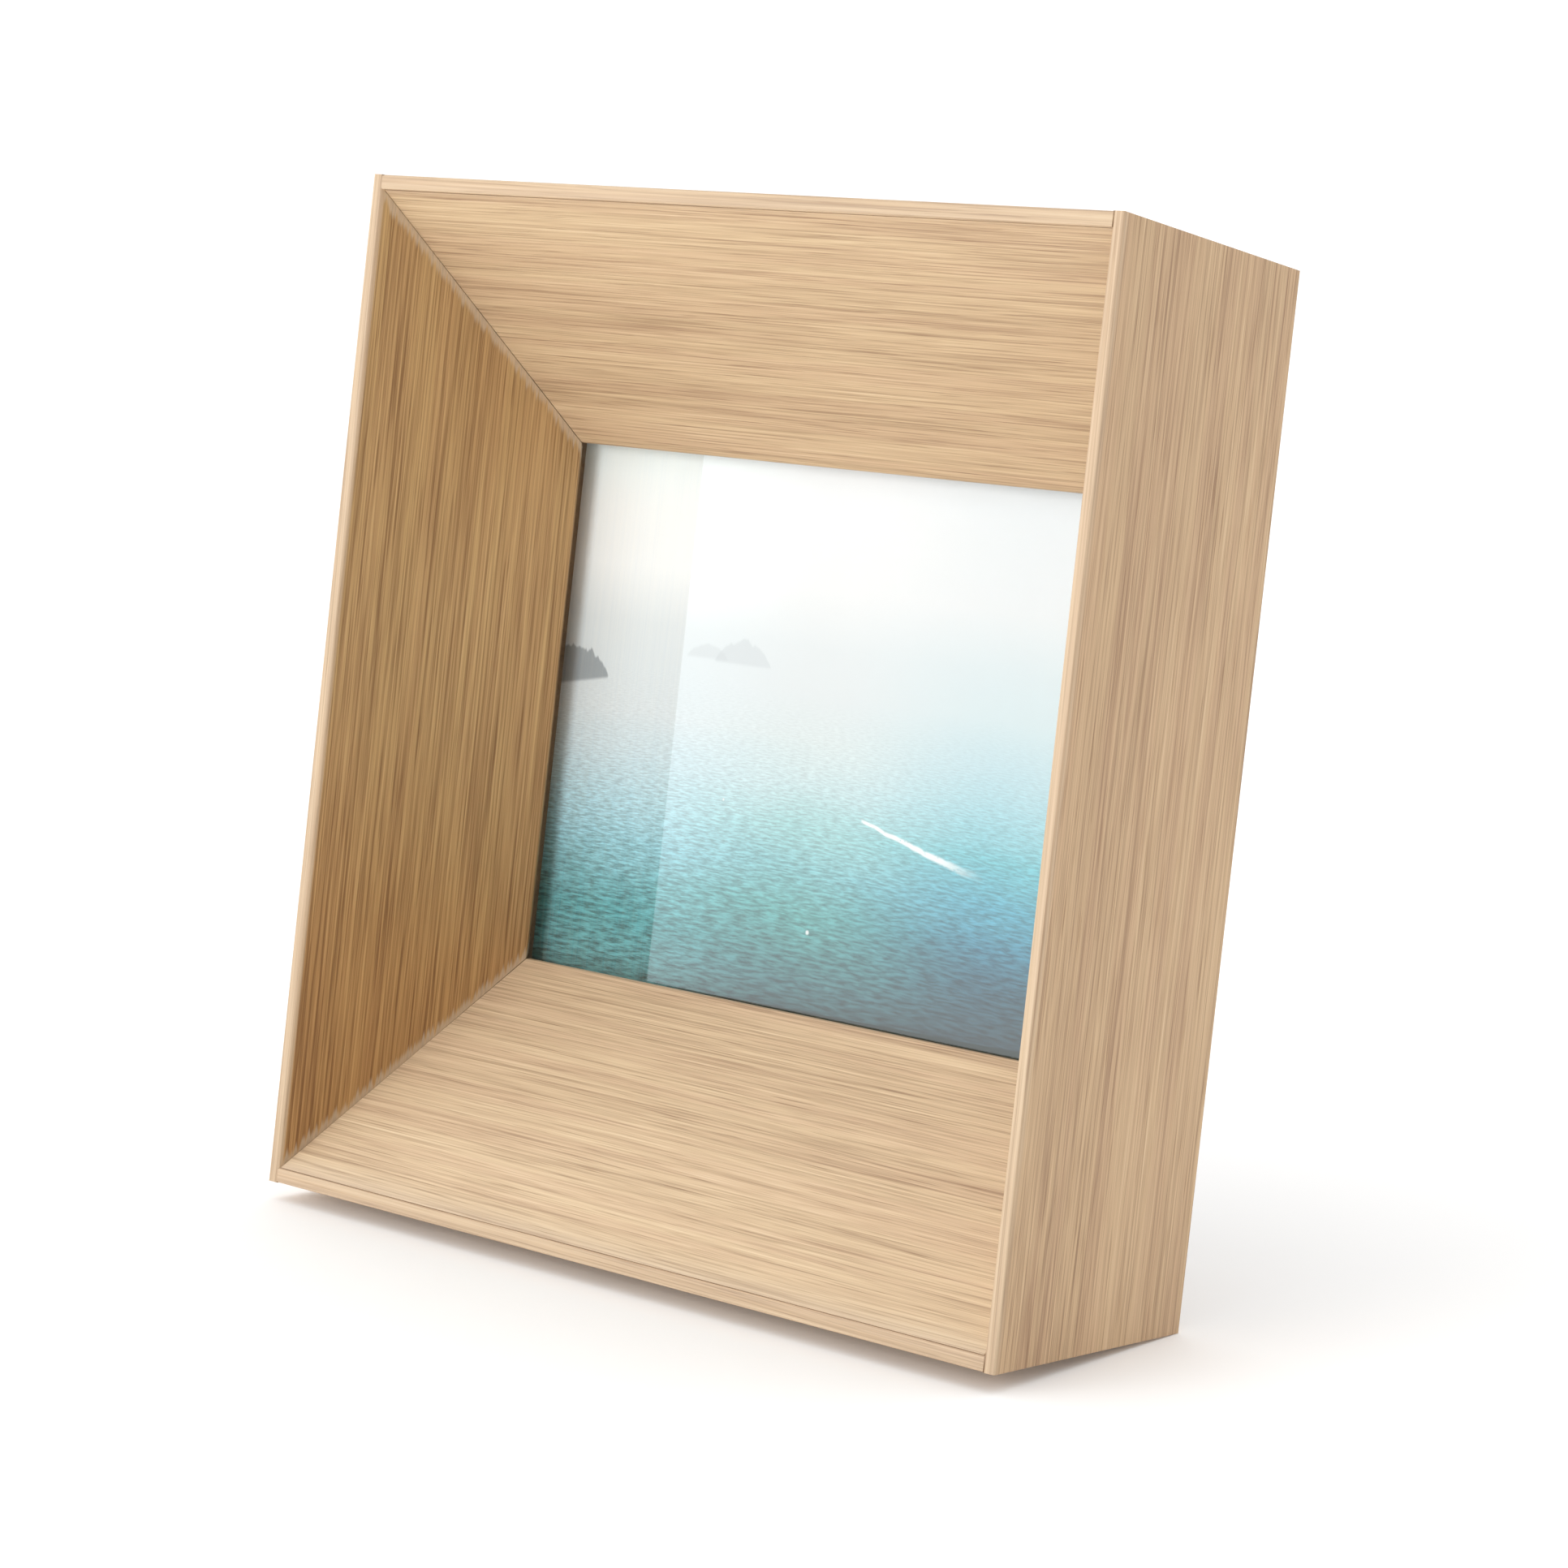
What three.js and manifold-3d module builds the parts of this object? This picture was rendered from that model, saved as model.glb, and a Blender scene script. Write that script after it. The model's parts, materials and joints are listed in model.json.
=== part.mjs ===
// A deep wooden picture frame for one landscape print, standing on its back edge and a folding strut.
//
// Millimetres. X runs to the right, Y from the front to the back and Z up. Every piece is built in the
// frame's own space, with the front edges in the plane y = 0 and the middle of the picture at x = z = 0.
// The last lines lean the whole frame back and put the middle of its footprint at the origin.

import * as THREE from 'three';
import { ConvexGeometry } from 'three/addons/geometries/ConvexGeometry.js';
import { mergeVertices } from 'three/addons/utils/BufferGeometryUtils.js';
import Module from 'manifold-3d';

const wasm = await Module();
wasm.setup();

// ---- driving dimensions ----

const WIDTH = 180; // outside, across the front edges
const HEIGHT = 182;
const DEPTH = 48.3; // front edge to back edge
const TAPER = 4.9; // degrees that each outer side leans in towards the back
const LEAN = 8.8; // degrees that the standing frame leans back
const BOARD = 2.6; // thickness of the outer boards, whose front edges are the lip

const PRINT_COVER = 3.25; // how far the opening's edges cover the print, all round
const OPENING_LAND = 1.7; // flat edge of the opening, from the slope to the rebate
const SLOPE_START = 0.6; // how far the sloping boards begin behind the front edges
const SLOPE_BOARD = 4.5; // thickness of the sloping boards, whose back edges reach the rails

const PRINT_WIDTH = 152.4; // a 6 x 4 inch print
const PRINT_HEIGHT = 101.6;
const PRINT_THICK = 0.3;
const GLASS_THICK = 2;
const BACKING_THICK = 2;
const WINDOW_CLEAR = 0.8; // round the glass, inside the back rails
const GAP = 0.3; // glue line, or air between pieces that touch

const CORNER_BLOCK_WIDTH = 20;
const CORNER_BLOCK_DEPTH = 11;

const BUTTON_LENGTH = 24; // turn buttons that hold the backing board in
const BUTTON_WIDTH = 8;
const BUTTON_THICK = 1;
const BUTTON_X = 50; // pivot, either side of the middle
const BUTTON_SETBACK = 9; // pivot, outside the window

const SCREW_RADIUS = 1.2;
const SCREW_HEAD_RADIUS = 2.5;
const SCREW_HEAD_HEIGHT = 1.5;
const SCREW_DOME = 0.4; // of the head's height that is domed
const SCREW_CROWN = 0.6; // of the head's radius, flat on top
const SCREW_POINT = 0.5; // of the shank's radius, at the point
const SCREW_DEPTH = 4.4; // of a turn button's screw in its rail
const RAIL_SCREW_INSET = 13; // from the side boards
const RAIL_SCREW_GRIP = 7; // of a rail's screw in its corner block

const HANGER_LENGTH = 44;
const HANGER_HEIGHT = 9;
const HANGER_SHEET = 0.8;
const HANGER_OFFSET = 3; // above the middle of the top rail
const HANGER_RISE = 1.6; // the toothed middle stands this far off the rail
const HANGER_FOOT = 8; // flat end that a nail goes through
const HANGER_TEETH = 9;
const TOOTH_HEIGHT = 1.6;
const NOTCH_SHARE = 0.9; // of the pitch between teeth
const NAIL_RADIUS = 0.7;
const NAIL_HEAD_RADIUS = 1.8;
const NAIL_LENGTH = 4;

const BUMPER_RADIUS = 4;
const BUMPER_HEIGHT = 2;
const BUMPER_WALL = 0.5; // of the height, before the sides draw in
const BUMPER_FACE = 0.75; // of the radius, at the face that meets the wall
const BUMPER_INSET = 6; // from the outer boards

const HINGE_HEIGHT = 34; // strut hinge, above the middle of the picture
const STRUT_OPEN = 17.5; // degrees between the open strut and the back
const STRUT_THICK = 3;
const STRUT_FRONT = 1.8; // from the pin's axis to the strut's front face
const STRUT_TOP_WIDTH = 24;
const STRUT_FOOT_WIDTH = 34;
const LEAF = 0.7; // hinge sheet
const LEAF_LENGTH = 15;
const KNUCKLE_RADIUS = 2.2;
const KNUCKLE_WIDTH = 7; // each outer knuckle
const MIDDLE_KNUCKLE_WIDTH = 9;
const PIN_RADIUS = 1;
const PIN_HEAD_RADIUS = 1.6;
const PIN_HEAD = 0.8;
const STOP_LENGTH = 4.6; // finger that meets the fixed leaf when the strut is open
const RIVET_RADIUS = 1;
const RIVET_HEAD_RADIUS = 2;
const RIVET_HEAD = 0.9;
const RIVET_CROWN = 0.7; // of the head's radius, flat on top
const RIVET_SPREAD = 0.25; // of the barrel's width, either side of the middle
const RIVET_ROW = 9.5; // from the pin's axis
const RIVET_END = 0.4; // of board left past a rivet

const ROUND = 16; // sides of a small round piece
const OVERRUN = 1; // how far a hole's tool runs out past the face that it opens
const WELD = 1e-4; // corners nearer than this are one corner

// ---- values that follow ----

const rad = THREE.MathUtils.degToRad;
const slant = Math.tan(rad(TAPER));
const boardAcross = BOARD / Math.cos(rad(TAPER)); // an outer board measured along the front

// Depths behind the front edges, from the flush back forward.
const backingFront = DEPTH - BACKING_THICK;
const printFront = backingFront - GAP - PRINT_THICK;
const glassFront = printFront - GAP - GLASS_THICK;
const slopeBack = glassFront - GAP;
const openingDepth = slopeBack - OPENING_LAND;

// Half sizes of the opening and of the window in the rails.
const openingX = PRINT_WIDTH / 2 - PRINT_COVER;
const openingZ = PRINT_HEIGHT / 2 - PRINT_COVER;
const windowX = PRINT_WIDTH / 2 + WINDOW_CLEAR;
const windowZ = PRINT_HEIGHT / 2 + WINDOW_CLEAR;

// Half sizes at a depth y: outside of the outer boards, inside of them, and the sloping faces.
const outerX = (y) => WIDTH / 2 - y * slant;
const outerZ = (y) => HEIGHT / 2 - y * slant;
const innerX = (y) => outerX(y) - boardAcross;
const innerZ = (y) => outerZ(y) - boardAcross;
const clearX = (y) => innerX(y) - GAP;
const clearZ = (y) => innerZ(y) - GAP;

const slopeRun = openingDepth - SLOPE_START;
const pitchX = (clearX(SLOPE_START) - openingX) / slopeRun;
const pitchZ = (clearZ(SLOPE_START) - openingZ) / slopeRun;
const slopeX = (y) => openingX + pitchX * (openingDepth - y);
const slopeZ = (y) => openingZ + pitchZ * (openingDepth - y);
const slopeAcrossX = SLOPE_BOARD * Math.hypot(1, pitchX);
const slopeAcrossZ = SLOPE_BOARD * Math.hypot(1, pitchZ);

// A corner block fills the hollow behind the slope, from its own front to the rails.
const blockFront = slopeBack - CORNER_BLOCK_DEPTH;
const blockLow = slopeZ(blockFront) + slopeAcrossZ + GAP;
const blockMiddle = (blockLow + clearZ(slopeBack)) / 2;

const hingeY = DEPTH + GAP + KNUCKLE_RADIUS;
const barrelWidth = MIDDLE_KNUCKLE_WIDTH + 2 * (GAP + KNUCKLE_WIDTH);

// ---- finishes ----

const finish = (color, roughness, metalness = 0) => ({ color, roughness, metalness });
const OAK = finish(0xc8aa82, 0.6);
const OAK_SHADE = finish(0xb08657, 0.6);
const FIBREBOARD = finish(0x9b7a55, 0.85);
const BLACK_BOARD = finish(0x2b2a29, 0.8);
const GLASS = finish(0xdfe9e6, 0.05);
const PRINT = finish(0xa9c3c8, 0.5);
const STEEL = finish(0xb9bbbd, 0.35, 1);
const BRASS = finish(0xb8985a, 0.35, 1);
const RUBBER = finish(0x3a3a3a, 0.8);

// ---- shapes ----

/** A closed solid from a geometry whose faces share no vertices yet. */
function toSolid(geometry) {
  const bare = geometry.clone();
  bare.deleteAttribute('normal');
  bare.deleteAttribute('uv');
  const merged = mergeVertices(bare, WELD);
  const vertProperties = new Float32Array(merged.attributes.position.array);
  const triVerts = new Uint32Array(merged.index.array);
  return new wasm.Manifold(new wasm.Mesh({ numProp: 3, vertProperties, triVerts }));
}

/** The geometry of a solid, for a mesh. */
function toGeometry(solid) {
  const { vertProperties, triVerts } = solid.getMesh();
  const geometry = new THREE.BufferGeometry();
  geometry.setAttribute('position', new THREE.BufferAttribute(vertProperties, 3));
  geometry.setIndex(new THREE.BufferAttribute(triVerts, 1));
  return geometry;
}

/** The first geometry with each of the others taken out of it. */
function cut(geometry, tools) {
  return toGeometry(tools.reduce((solid, tool) => solid.subtract(toSolid(tool)), toSolid(geometry)));
}

/** The part of a geometry that lies in another. */
function trim(geometry, limits) {
  return toGeometry(toSolid(geometry).intersect(toSolid(limits)));
}

/** All the geometries as one. */
function join(geometries) {
  return toGeometry(geometries.map(toSolid).reduce((solid, next) => solid.add(next)));
}

/** The flat-faced solid round a list of [x, y, z] points. */
function hull(points) {
  return new ConvexGeometry(points.map((point) => new THREE.Vector3(...point)));
}

/** A box between two corners. */
function box(x0, x1, y0, y1, z0, z1) {
  const geometry = new THREE.BoxGeometry(x1 - x0, y1 - y0, z1 - z0);
  return geometry.translate((x0 + x1) / 2, (y0 + y1) / 2, (z0 + z1) / 2);
}

/** A cylinder along the depth, from y0 to y1, about (x, z). */
function rod(radius, x, z, y0, y1) {
  return new THREE.CylinderGeometry(radius, radius, y1 - y0, ROUND).translate(x, (y0 + y1) / 2, z);
}

/** A solid of revolution about the depth axis through (x, z), from [radius, y] points. */
function turned(profile, x, z) {
  const points = profile.map(([radius, y]) => new THREE.Vector2(radius, y));
  return new THREE.LatheGeometry(points, ROUND).translate(x, 0, z);
}

/** A cylinder across the frame, from x0 to x1, about the line (y, z). */
function barrel(radius, y, z, x0, x1) {
  const geometry = new THREE.CylinderGeometry(radius, radius, x1 - x0, ROUND);
  return geometry.rotateZ(Math.PI / 2).translate((x0 + x1) / 2, y, z);
}

/** A sheet whose outline is drawn in x and z, from y0 to y1. */
function sheet(shape, y0, y1) {
  const options = { depth: y1 - y0, bevelEnabled: false, curveSegments: ROUND / 2 };
  const geometry = new THREE.ExtrudeGeometry(shape, options);
  return geometry.rotateX(Math.PI / 2).translate(0, y1, 0);
}

/** Each [y, across] point of a profile, carried to both of its ends. */
function bothEnds(profile, end, place) {
  return profile.flatMap(([y, across]) => [-1, 1].map((side) => place(side * end(y, across), y, across)));
}

// ---- outer boards ----

const SIDES = { left: -1, right: 1 };
const LEVELS = { bottom: -1, top: 1 };

/** A board with its outer face on the taper: the side boards run past the ends of the other two. */
function outerBoards() {
  const upright = [0, DEPTH].flatMap((y) => [[y, outerX(y)], [y, innerX(y)]]);
  const level = [0, DEPTH].flatMap((y) => [[y, outerZ(y)], [y, innerZ(y)]]);
  for (const [name, side] of Object.entries(SIDES)) {
    const points = bothEnds(upright, (y) => outerZ(y), (end, y, across) => [side * across, y, end]);
    add(`${name}_outer_board`, hull(points), OAK);
  }
  for (const [name, side] of Object.entries(LEVELS)) {
    const points = bothEnds(level, (y) => clearX(y), (end, y, across) => [end, y, side * across]);
    add(`${name}_outer_board`, hull(points), OAK);
  }
}

// ---- sloping boards ----

/** A sloping board's section as [y, across] points, from the slope's face outwards. */
function slopeSection(face, thickness) {
  return [
    [SLOPE_START, face(SLOPE_START)],
    [openingDepth, face(openingDepth)],
    [slopeBack, face(openingDepth)],
    [slopeBack, face(slopeBack) + thickness],
    [SLOPE_START, face(SLOPE_START) + thickness],
  ];
}

/** Four boards from the lip down to the opening, mitred to each other and trimmed to the outer boards. */
function slopingBoards() {
  const mitre = GAP / 2;
  const share = slopeAcrossX / slopeAcrossZ;
  const inside = hull([0, DEPTH].flatMap((y) => [-1, 1].flatMap((side) => [-1, 1].map(
    (level) => [side * clearX(y), y, level * clearZ(y)],
  ))));
  const upright = slopeSection(slopeX, slopeAcrossX);
  const level = slopeSection(slopeZ, slopeAcrossZ);
  const uprightEnd = (y, across) => slopeZ(y) + (across - slopeX(y)) / share - mitre;
  const levelEnd = (y, across) => slopeX(y) + (across - slopeZ(y)) * share - mitre;
  for (const [name, side] of Object.entries(SIDES)) {
    const points = bothEnds(upright, uprightEnd, (end, y, across) => [side * across, y, end]);
    add(`${name}_inner_slope`, trim(hull(points), inside), OAK_SHADE);
  }
  for (const [name, side] of Object.entries(LEVELS)) {
    const points = bothEnds(level, levelEnd, (end, y, across) => [end, y, side * across]);
    add(`${name}_inner_slope`, trim(hull(points), inside), OAK_SHADE);
  }
}

// ---- back of the case ----

/** Where a rail's screw goes, for a corner given by its two signs. */
function railScrewPlace(side, level) {
  return [side * (clearX(DEPTH) - RAIL_SCREW_INSET), level * blockMiddle];
}

/** Where a turn button's pivot is. */
function buttonPlace(side, level) {
  return [side * BUTTON_X, level * (windowZ + BUTTON_SETBACK)];
}

/** Two wide rails above and below the window, and two narrow ones between them. */
function backRails() {
  const ends = [glassFront, DEPTH];
  const recess = SCREW_HEAD_HEIGHT + 2 * GAP;
  for (const [name, level] of Object.entries(LEVELS)) {
    const section = ends.flatMap((y) => [[y, windowZ], [y, clearZ(y)]]);
    const points = bothEnds(section, (y) => clearX(y), (end, y, across) => [end, y, level * across]);
    const holes = Object.values(SIDES).flatMap((side) => {
      const [screwX, screwZ] = railScrewPlace(side, level);
      const [pivotX, pivotZ] = buttonPlace(side, level);
      return [
        rod(SCREW_RADIUS + GAP, screwX, screwZ, glassFront - OVERRUN, DEPTH + OVERRUN),
        rod(SCREW_HEAD_RADIUS + GAP, screwX, screwZ, DEPTH - recess, DEPTH + OVERRUN),
        rod(SCREW_RADIUS + GAP, pivotX, pivotZ, DEPTH - SCREW_DEPTH - GAP, DEPTH + OVERRUN),
      ];
    });
    const nails = level > 0 ? nailHoles() : [];
    add(`${name}_back_rail`, cut(hull(points), [...holes, ...nails]), FIBREBOARD);
  }
  for (const [name, side] of Object.entries(SIDES)) {
    const section = ends.flatMap((y) => [[y, windowX], [y, clearX(y)]]);
    const points = bothEnds(section, () => windowZ - GAP, (end, y, across) => [side * across, y, end]);
    add(`${name}_back_rail`, hull(points), FIBREBOARD);
  }
}

/** Blocks that tie the outer boards and the rails together, out of sight behind the slopes. */
function cornerBlocks() {
  for (const [levelName, level] of Object.entries(LEVELS)) {
    for (const [sideName, side] of Object.entries(SIDES)) {
      const inner = clearX(slopeBack) - CORNER_BLOCK_WIDTH;
      const points = [blockFront, slopeBack].flatMap((y) => [clearX(y), inner].flatMap(
        (x) => [clearZ(y), blockLow].map((z) => [side * x, y, level * z]),
      ));
      const [screwX, screwZ] = railScrewPlace(side, level);
      const bottom = slopeBack - RAIL_SCREW_GRIP - GAP;
      const hole = rod(SCREW_RADIUS + GAP, screwX, screwZ, bottom, slopeBack + OVERRUN);
      add(`corner_block_${levelName}_${sideName}`, cut(hull(points), [hole]), FIBREBOARD);
    }
  }
}

/** A pan-headed screw driven forward, its head resting at a depth. */
function screw(x, z, seat, length) {
  const dome = SCREW_HEAD_HEIGHT * SCREW_DOME;
  return turned([
    [0, seat - length],
    [SCREW_RADIUS * SCREW_POINT, seat - length],
    [SCREW_RADIUS, seat - length + SCREW_RADIUS],
    [SCREW_RADIUS, seat],
    [SCREW_HEAD_RADIUS, seat],
    [SCREW_HEAD_RADIUS, seat + SCREW_HEAD_HEIGHT - dome],
    [SCREW_HEAD_RADIUS * SCREW_CROWN, seat + SCREW_HEAD_HEIGHT],
    [0, seat + SCREW_HEAD_HEIGHT],
  ], x, z);
}

/** A screw in each corner of the back, through the rail and into its block. */
function railScrews() {
  const seat = DEPTH - SCREW_HEAD_HEIGHT - GAP;
  const length = seat - glassFront + GAP + RAIL_SCREW_GRIP;
  for (const [levelName, level] of Object.entries(LEVELS)) {
    for (const [sideName, side] of Object.entries(SIDES)) {
      const [x, z] = railScrewPlace(side, level);
      add(`rail_screw_${levelName}_${sideName}`, screw(x, z, seat, length), STEEL);
    }
  }
}

// ---- what the frame holds ----

/** A sheet of the print's size, from y0 to y1. */
function picture(y0, thickness) {
  return box(-PRINT_WIDTH / 2, PRINT_WIDTH / 2, y0, y0 + thickness, -PRINT_HEIGHT / 2, PRINT_HEIGHT / 2);
}

/** The glass, the print behind it and the board that closes the back. */
function contents() {
  add('glass_pane', picture(glassFront, GLASS_THICK), GLASS);
  add('photo_print', picture(printFront, PRINT_THICK), PRINT);
  const holes = rivetPlaces().map(([x, rise]) => (
    rod(RIVET_RADIUS + GAP, x, HINGE_HEIGHT + rise, backingFront + RIVET_END - GAP, DEPTH + OVERRUN)
  ));
  add('backing_board', cut(picture(backingFront, BACKING_THICK), holes), BLACK_BOARD);
}

/** A turn button in each corner of the window, with its pivot screw. */
function turnButtons() {
  const near = DEPTH + GAP;
  const far = near + BUTTON_THICK;
  const end = BUTTON_WIDTH / 2;
  for (const [levelName, level] of Object.entries(LEVELS)) {
    for (const [sideName, side] of Object.entries(SIDES)) {
      const [x, z] = buttonPlace(side, level);
      const outline = new THREE.Shape();
      outline.absarc(0, 0, end, 0, Math.PI);
      outline.absarc(0, BUTTON_WIDTH - BUTTON_LENGTH, end, Math.PI, 2 * Math.PI);
      const hole = new THREE.Path();
      hole.absarc(0, 0, SCREW_RADIUS + GAP, 0, 2 * Math.PI);
      outline.holes.push(hole);
      const plate = sheet(outline, near, far);
      if (level < 0) {
        plate.rotateY(Math.PI);
      }
      plate.translate(x, 0, z);
      const label = `${levelName}_${sideName}`;
      add(`turn_button_${label}`, plate, BRASS);
      add(`button_screw_${label}`, screw(x, z, far + GAP, far + GAP - DEPTH + SCREW_DEPTH), BRASS);
    }
  }
}

// ---- hanging and resting on a wall ----

const hangerZ = (windowZ + clearZ(DEPTH)) / 2 + HANGER_OFFSET;
const nailX = (HANGER_LENGTH - HANGER_FOOT) / 2;

/** Holes in the top rail for the hanger's nails. */
function nailHoles() {
  const depth = DEPTH - NAIL_LENGTH - GAP;
  return [-nailX, nailX].map((x) => rod(NAIL_RADIUS + GAP, x, hangerZ, depth, DEPTH + OVERRUN));
}

/** A strip with flat feet, a raised middle and teeth along the middle's lower edge. */
function sawtoothHanger() {
  const near = DEPTH + GAP;
  const half = HANGER_LENGTH / 2;
  const bend = half - HANGER_FOOT;
  const raised = bend - HANGER_RISE;
  const section = new THREE.Shape([
    [-half, 0], [-bend, 0], [-raised, HANGER_RISE], [raised, HANGER_RISE], [bend, 0], [half, 0],
    [half, HANGER_SHEET], [bend, HANGER_SHEET], [raised, HANGER_RISE + HANGER_SHEET],
    [-raised, HANGER_RISE + HANGER_SHEET], [-bend, HANGER_SHEET], [-half, HANGER_SHEET],
  ].map(([x, y]) => new THREE.Vector2(x, y)));
  const strip = new THREE.ExtrudeGeometry(section, { depth: HANGER_HEIGHT, bevelEnabled: false });
  strip.translate(0, near, hangerZ - HANGER_HEIGHT / 2);
  const low = hangerZ - HANGER_HEIGHT / 2;
  const pitch = 2 * raised / HANGER_TEETH;
  const top = near + HANGER_RISE + HANGER_SHEET + OVERRUN;
  const reach = pitch * NOTCH_SHARE / 2;
  const notches = Array.from({ length: HANGER_TEETH }, (_, index) => {
    const x = -raised + pitch / 2 + index * pitch;
    return sheet(new THREE.Shape([
      new THREE.Vector2(x - reach, low - OVERRUN),
      new THREE.Vector2(x + reach, low - OVERRUN),
      new THREE.Vector2(x, low + TOOTH_HEIGHT),
    ]), near, top);
  });
  const holes = [-nailX, nailX].map((x) => rod(NAIL_RADIUS + GAP, x, hangerZ, near - OVERRUN, top));
  add('sawtooth_hanger', cut(strip, [...notches, ...holes]), BRASS);
  for (const [name, side] of Object.entries(SIDES)) {
    const seat = near + HANGER_SHEET + GAP;
    add(`hanger_nail_${name}`, turned([
      [0, DEPTH - NAIL_LENGTH],
      [NAIL_RADIUS, DEPTH - NAIL_LENGTH + NAIL_RADIUS],
      [NAIL_RADIUS, seat],
      [NAIL_HEAD_RADIUS, seat],
      [NAIL_HEAD_RADIUS, seat + NAIL_RADIUS],
      [0, seat + NAIL_RADIUS],
    ], side * nailX, hangerZ), BRASS);
  }
}

/** Soft stops at the bottom of the back, which keep the frame level on a wall. */
function wallBumpers() {
  const seat = DEPTH + GAP;
  for (const [name, side] of Object.entries(SIDES)) {
    const x = side * (clearX(DEPTH) - BUMPER_INSET);
    const z = BUMPER_INSET - clearZ(DEPTH);
    add(`wall_bumper_${name}`, turned([
      [0, seat],
      [BUMPER_RADIUS, seat],
      [BUMPER_RADIUS, seat + BUMPER_HEIGHT * BUMPER_WALL],
      [BUMPER_RADIUS * BUMPER_FACE, seat + BUMPER_HEIGHT],
      [0, seat + BUMPER_HEIGHT],
    ], x, z), RUBBER);
  }
}

// ---- strut and hinge ----

/** Rivets of a leaf: [across, distance from the pin's axis]. */
function rivetPlaces() {
  return [-1, 1].map((side) => [side * barrelWidth * RIVET_SPREAD, RIVET_ROW]);
}

/** A rivet with its head on a leaf whose outer face is at a depth. */
function rivet(x, z, seat, length) {
  return turned([
    [0, seat - length],
    [RIVET_RADIUS, seat - length],
    [RIVET_RADIUS, seat],
    [RIVET_HEAD_RADIUS, seat],
    [RIVET_HEAD_RADIUS * RIVET_CROWN, seat + RIVET_HEAD],
    [0, seat + RIVET_HEAD],
  ], x, z);
}

/** Rivet holes through a leaf that runs up (1) or down (-1) from the pin's height. */
function leafHoles(near, way, pinHeight) {
  return rivetPlaces().map(([x, rise]) => (
    rod(RIVET_RADIUS + GAP, x, pinHeight + way * rise, near - OVERRUN, near + LEAF + OVERRUN)
  ));
}

/** The fixed leaf: two knuckles, and a notch that the middle knuckle turns in. */
function boardLeaf() {
  const near = DEPTH + GAP;
  const half = barrelWidth / 2;
  const inner = MIDDLE_KNUCKLE_WIDTH / 2 + GAP;
  const plate = box(-half, half, near, near + LEAF, HINGE_HEIGHT, HINGE_HEIGHT + LEAF_LENGTH);
  const knuckles = [[-half, -inner], [inner, half]].map(([x0, x1]) => (
    barrel(KNUCKLE_RADIUS, hingeY, HINGE_HEIGHT, x0, x1)
  ));
  const clear = HINGE_HEIGHT + KNUCKLE_RADIUS + GAP;
  const notch = box(-inner, inner, near - OVERRUN, near + LEAF + OVERRUN, HINGE_HEIGHT - OVERRUN, clear);
  const bore = barrel(PIN_RADIUS + GAP, hingeY, HINGE_HEIGHT, -half - OVERRUN, half + OVERRUN);
  const holes = leafHoles(near, 1, HINGE_HEIGHT);
  add('hinge_board_leaf', cut(join([plate, ...knuckles]), [notch, bore, ...holes]), STEEL);
  const end = half + GAP;
  const profile = [
    [0, -end - PIN_HEAD], [PIN_HEAD_RADIUS, -end - PIN_HEAD], [PIN_HEAD_RADIUS, -end], [PIN_RADIUS, -end],
    [PIN_RADIUS, end], [PIN_HEAD_RADIUS, end], [PIN_HEAD_RADIUS, end + PIN_HEAD], [0, end + PIN_HEAD],
  ];
  add('hinge_pin', turned(profile, 0, 0).rotateZ(Math.PI / 2).translate(0, hingeY, HINGE_HEIGHT), STEEL);
  rivetPlaces().forEach(([x, rise], index) => {
    const length = near + LEAF + GAP - backingFront - RIVET_END;
    const name = `board_rivet_${Object.keys(SIDES)[index]}`;
    add(name, rivet(x, HINGE_HEIGHT + rise, near + LEAF + GAP, length), STEEL);
  });
}

/** How far the pin's axis is above the ground that the leaning frame stands on. */
function axisHeight() {
  const rise = HINGE_HEIGHT + outerZ(DEPTH);
  const back = hingeY - DEPTH;
  return rise * Math.cos(rad(LEAN)) - back * Math.sin(rad(LEAN));
}

/** The moving leaf: its middle knuckle, its plate down the strut's back, and the finger that stops it. */
function strutLeaf(rear) {
  const half = MIDDLE_KNUCKLE_WIDTH / 2;
  const wide = barrelWidth / 2 - GAP;
  const neck = -KNUCKLE_RADIUS - 2 * GAP;
  const stopY = GAP + LEAF - KNUCKLE_RADIUS;
  const finger = hull([-half, half].flatMap((x) => [
    [x, stopY, 0], [x, stopY, STOP_LENGTH], [x, stopY + LEAF, STOP_LENGTH], [x, PIN_RADIUS + GAP, 0],
  ])).rotateX(-rad(STRUT_OPEN));
  const solid = join([
    barrel(KNUCKLE_RADIUS, 0, 0, -half, half),
    finger,
    box(-half, half, rear, rear + LEAF, neck - OVERRUN, 0),
    box(-wide, wide, rear, rear + LEAF, -LEAF_LENGTH, neck),
  ]);
  const bore = barrel(PIN_RADIUS + GAP, 0, 0, -half - OVERRUN, half + OVERRUN);
  return cut(solid, [bore, ...leafHoles(rear, -1, 0)]);
}

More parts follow.
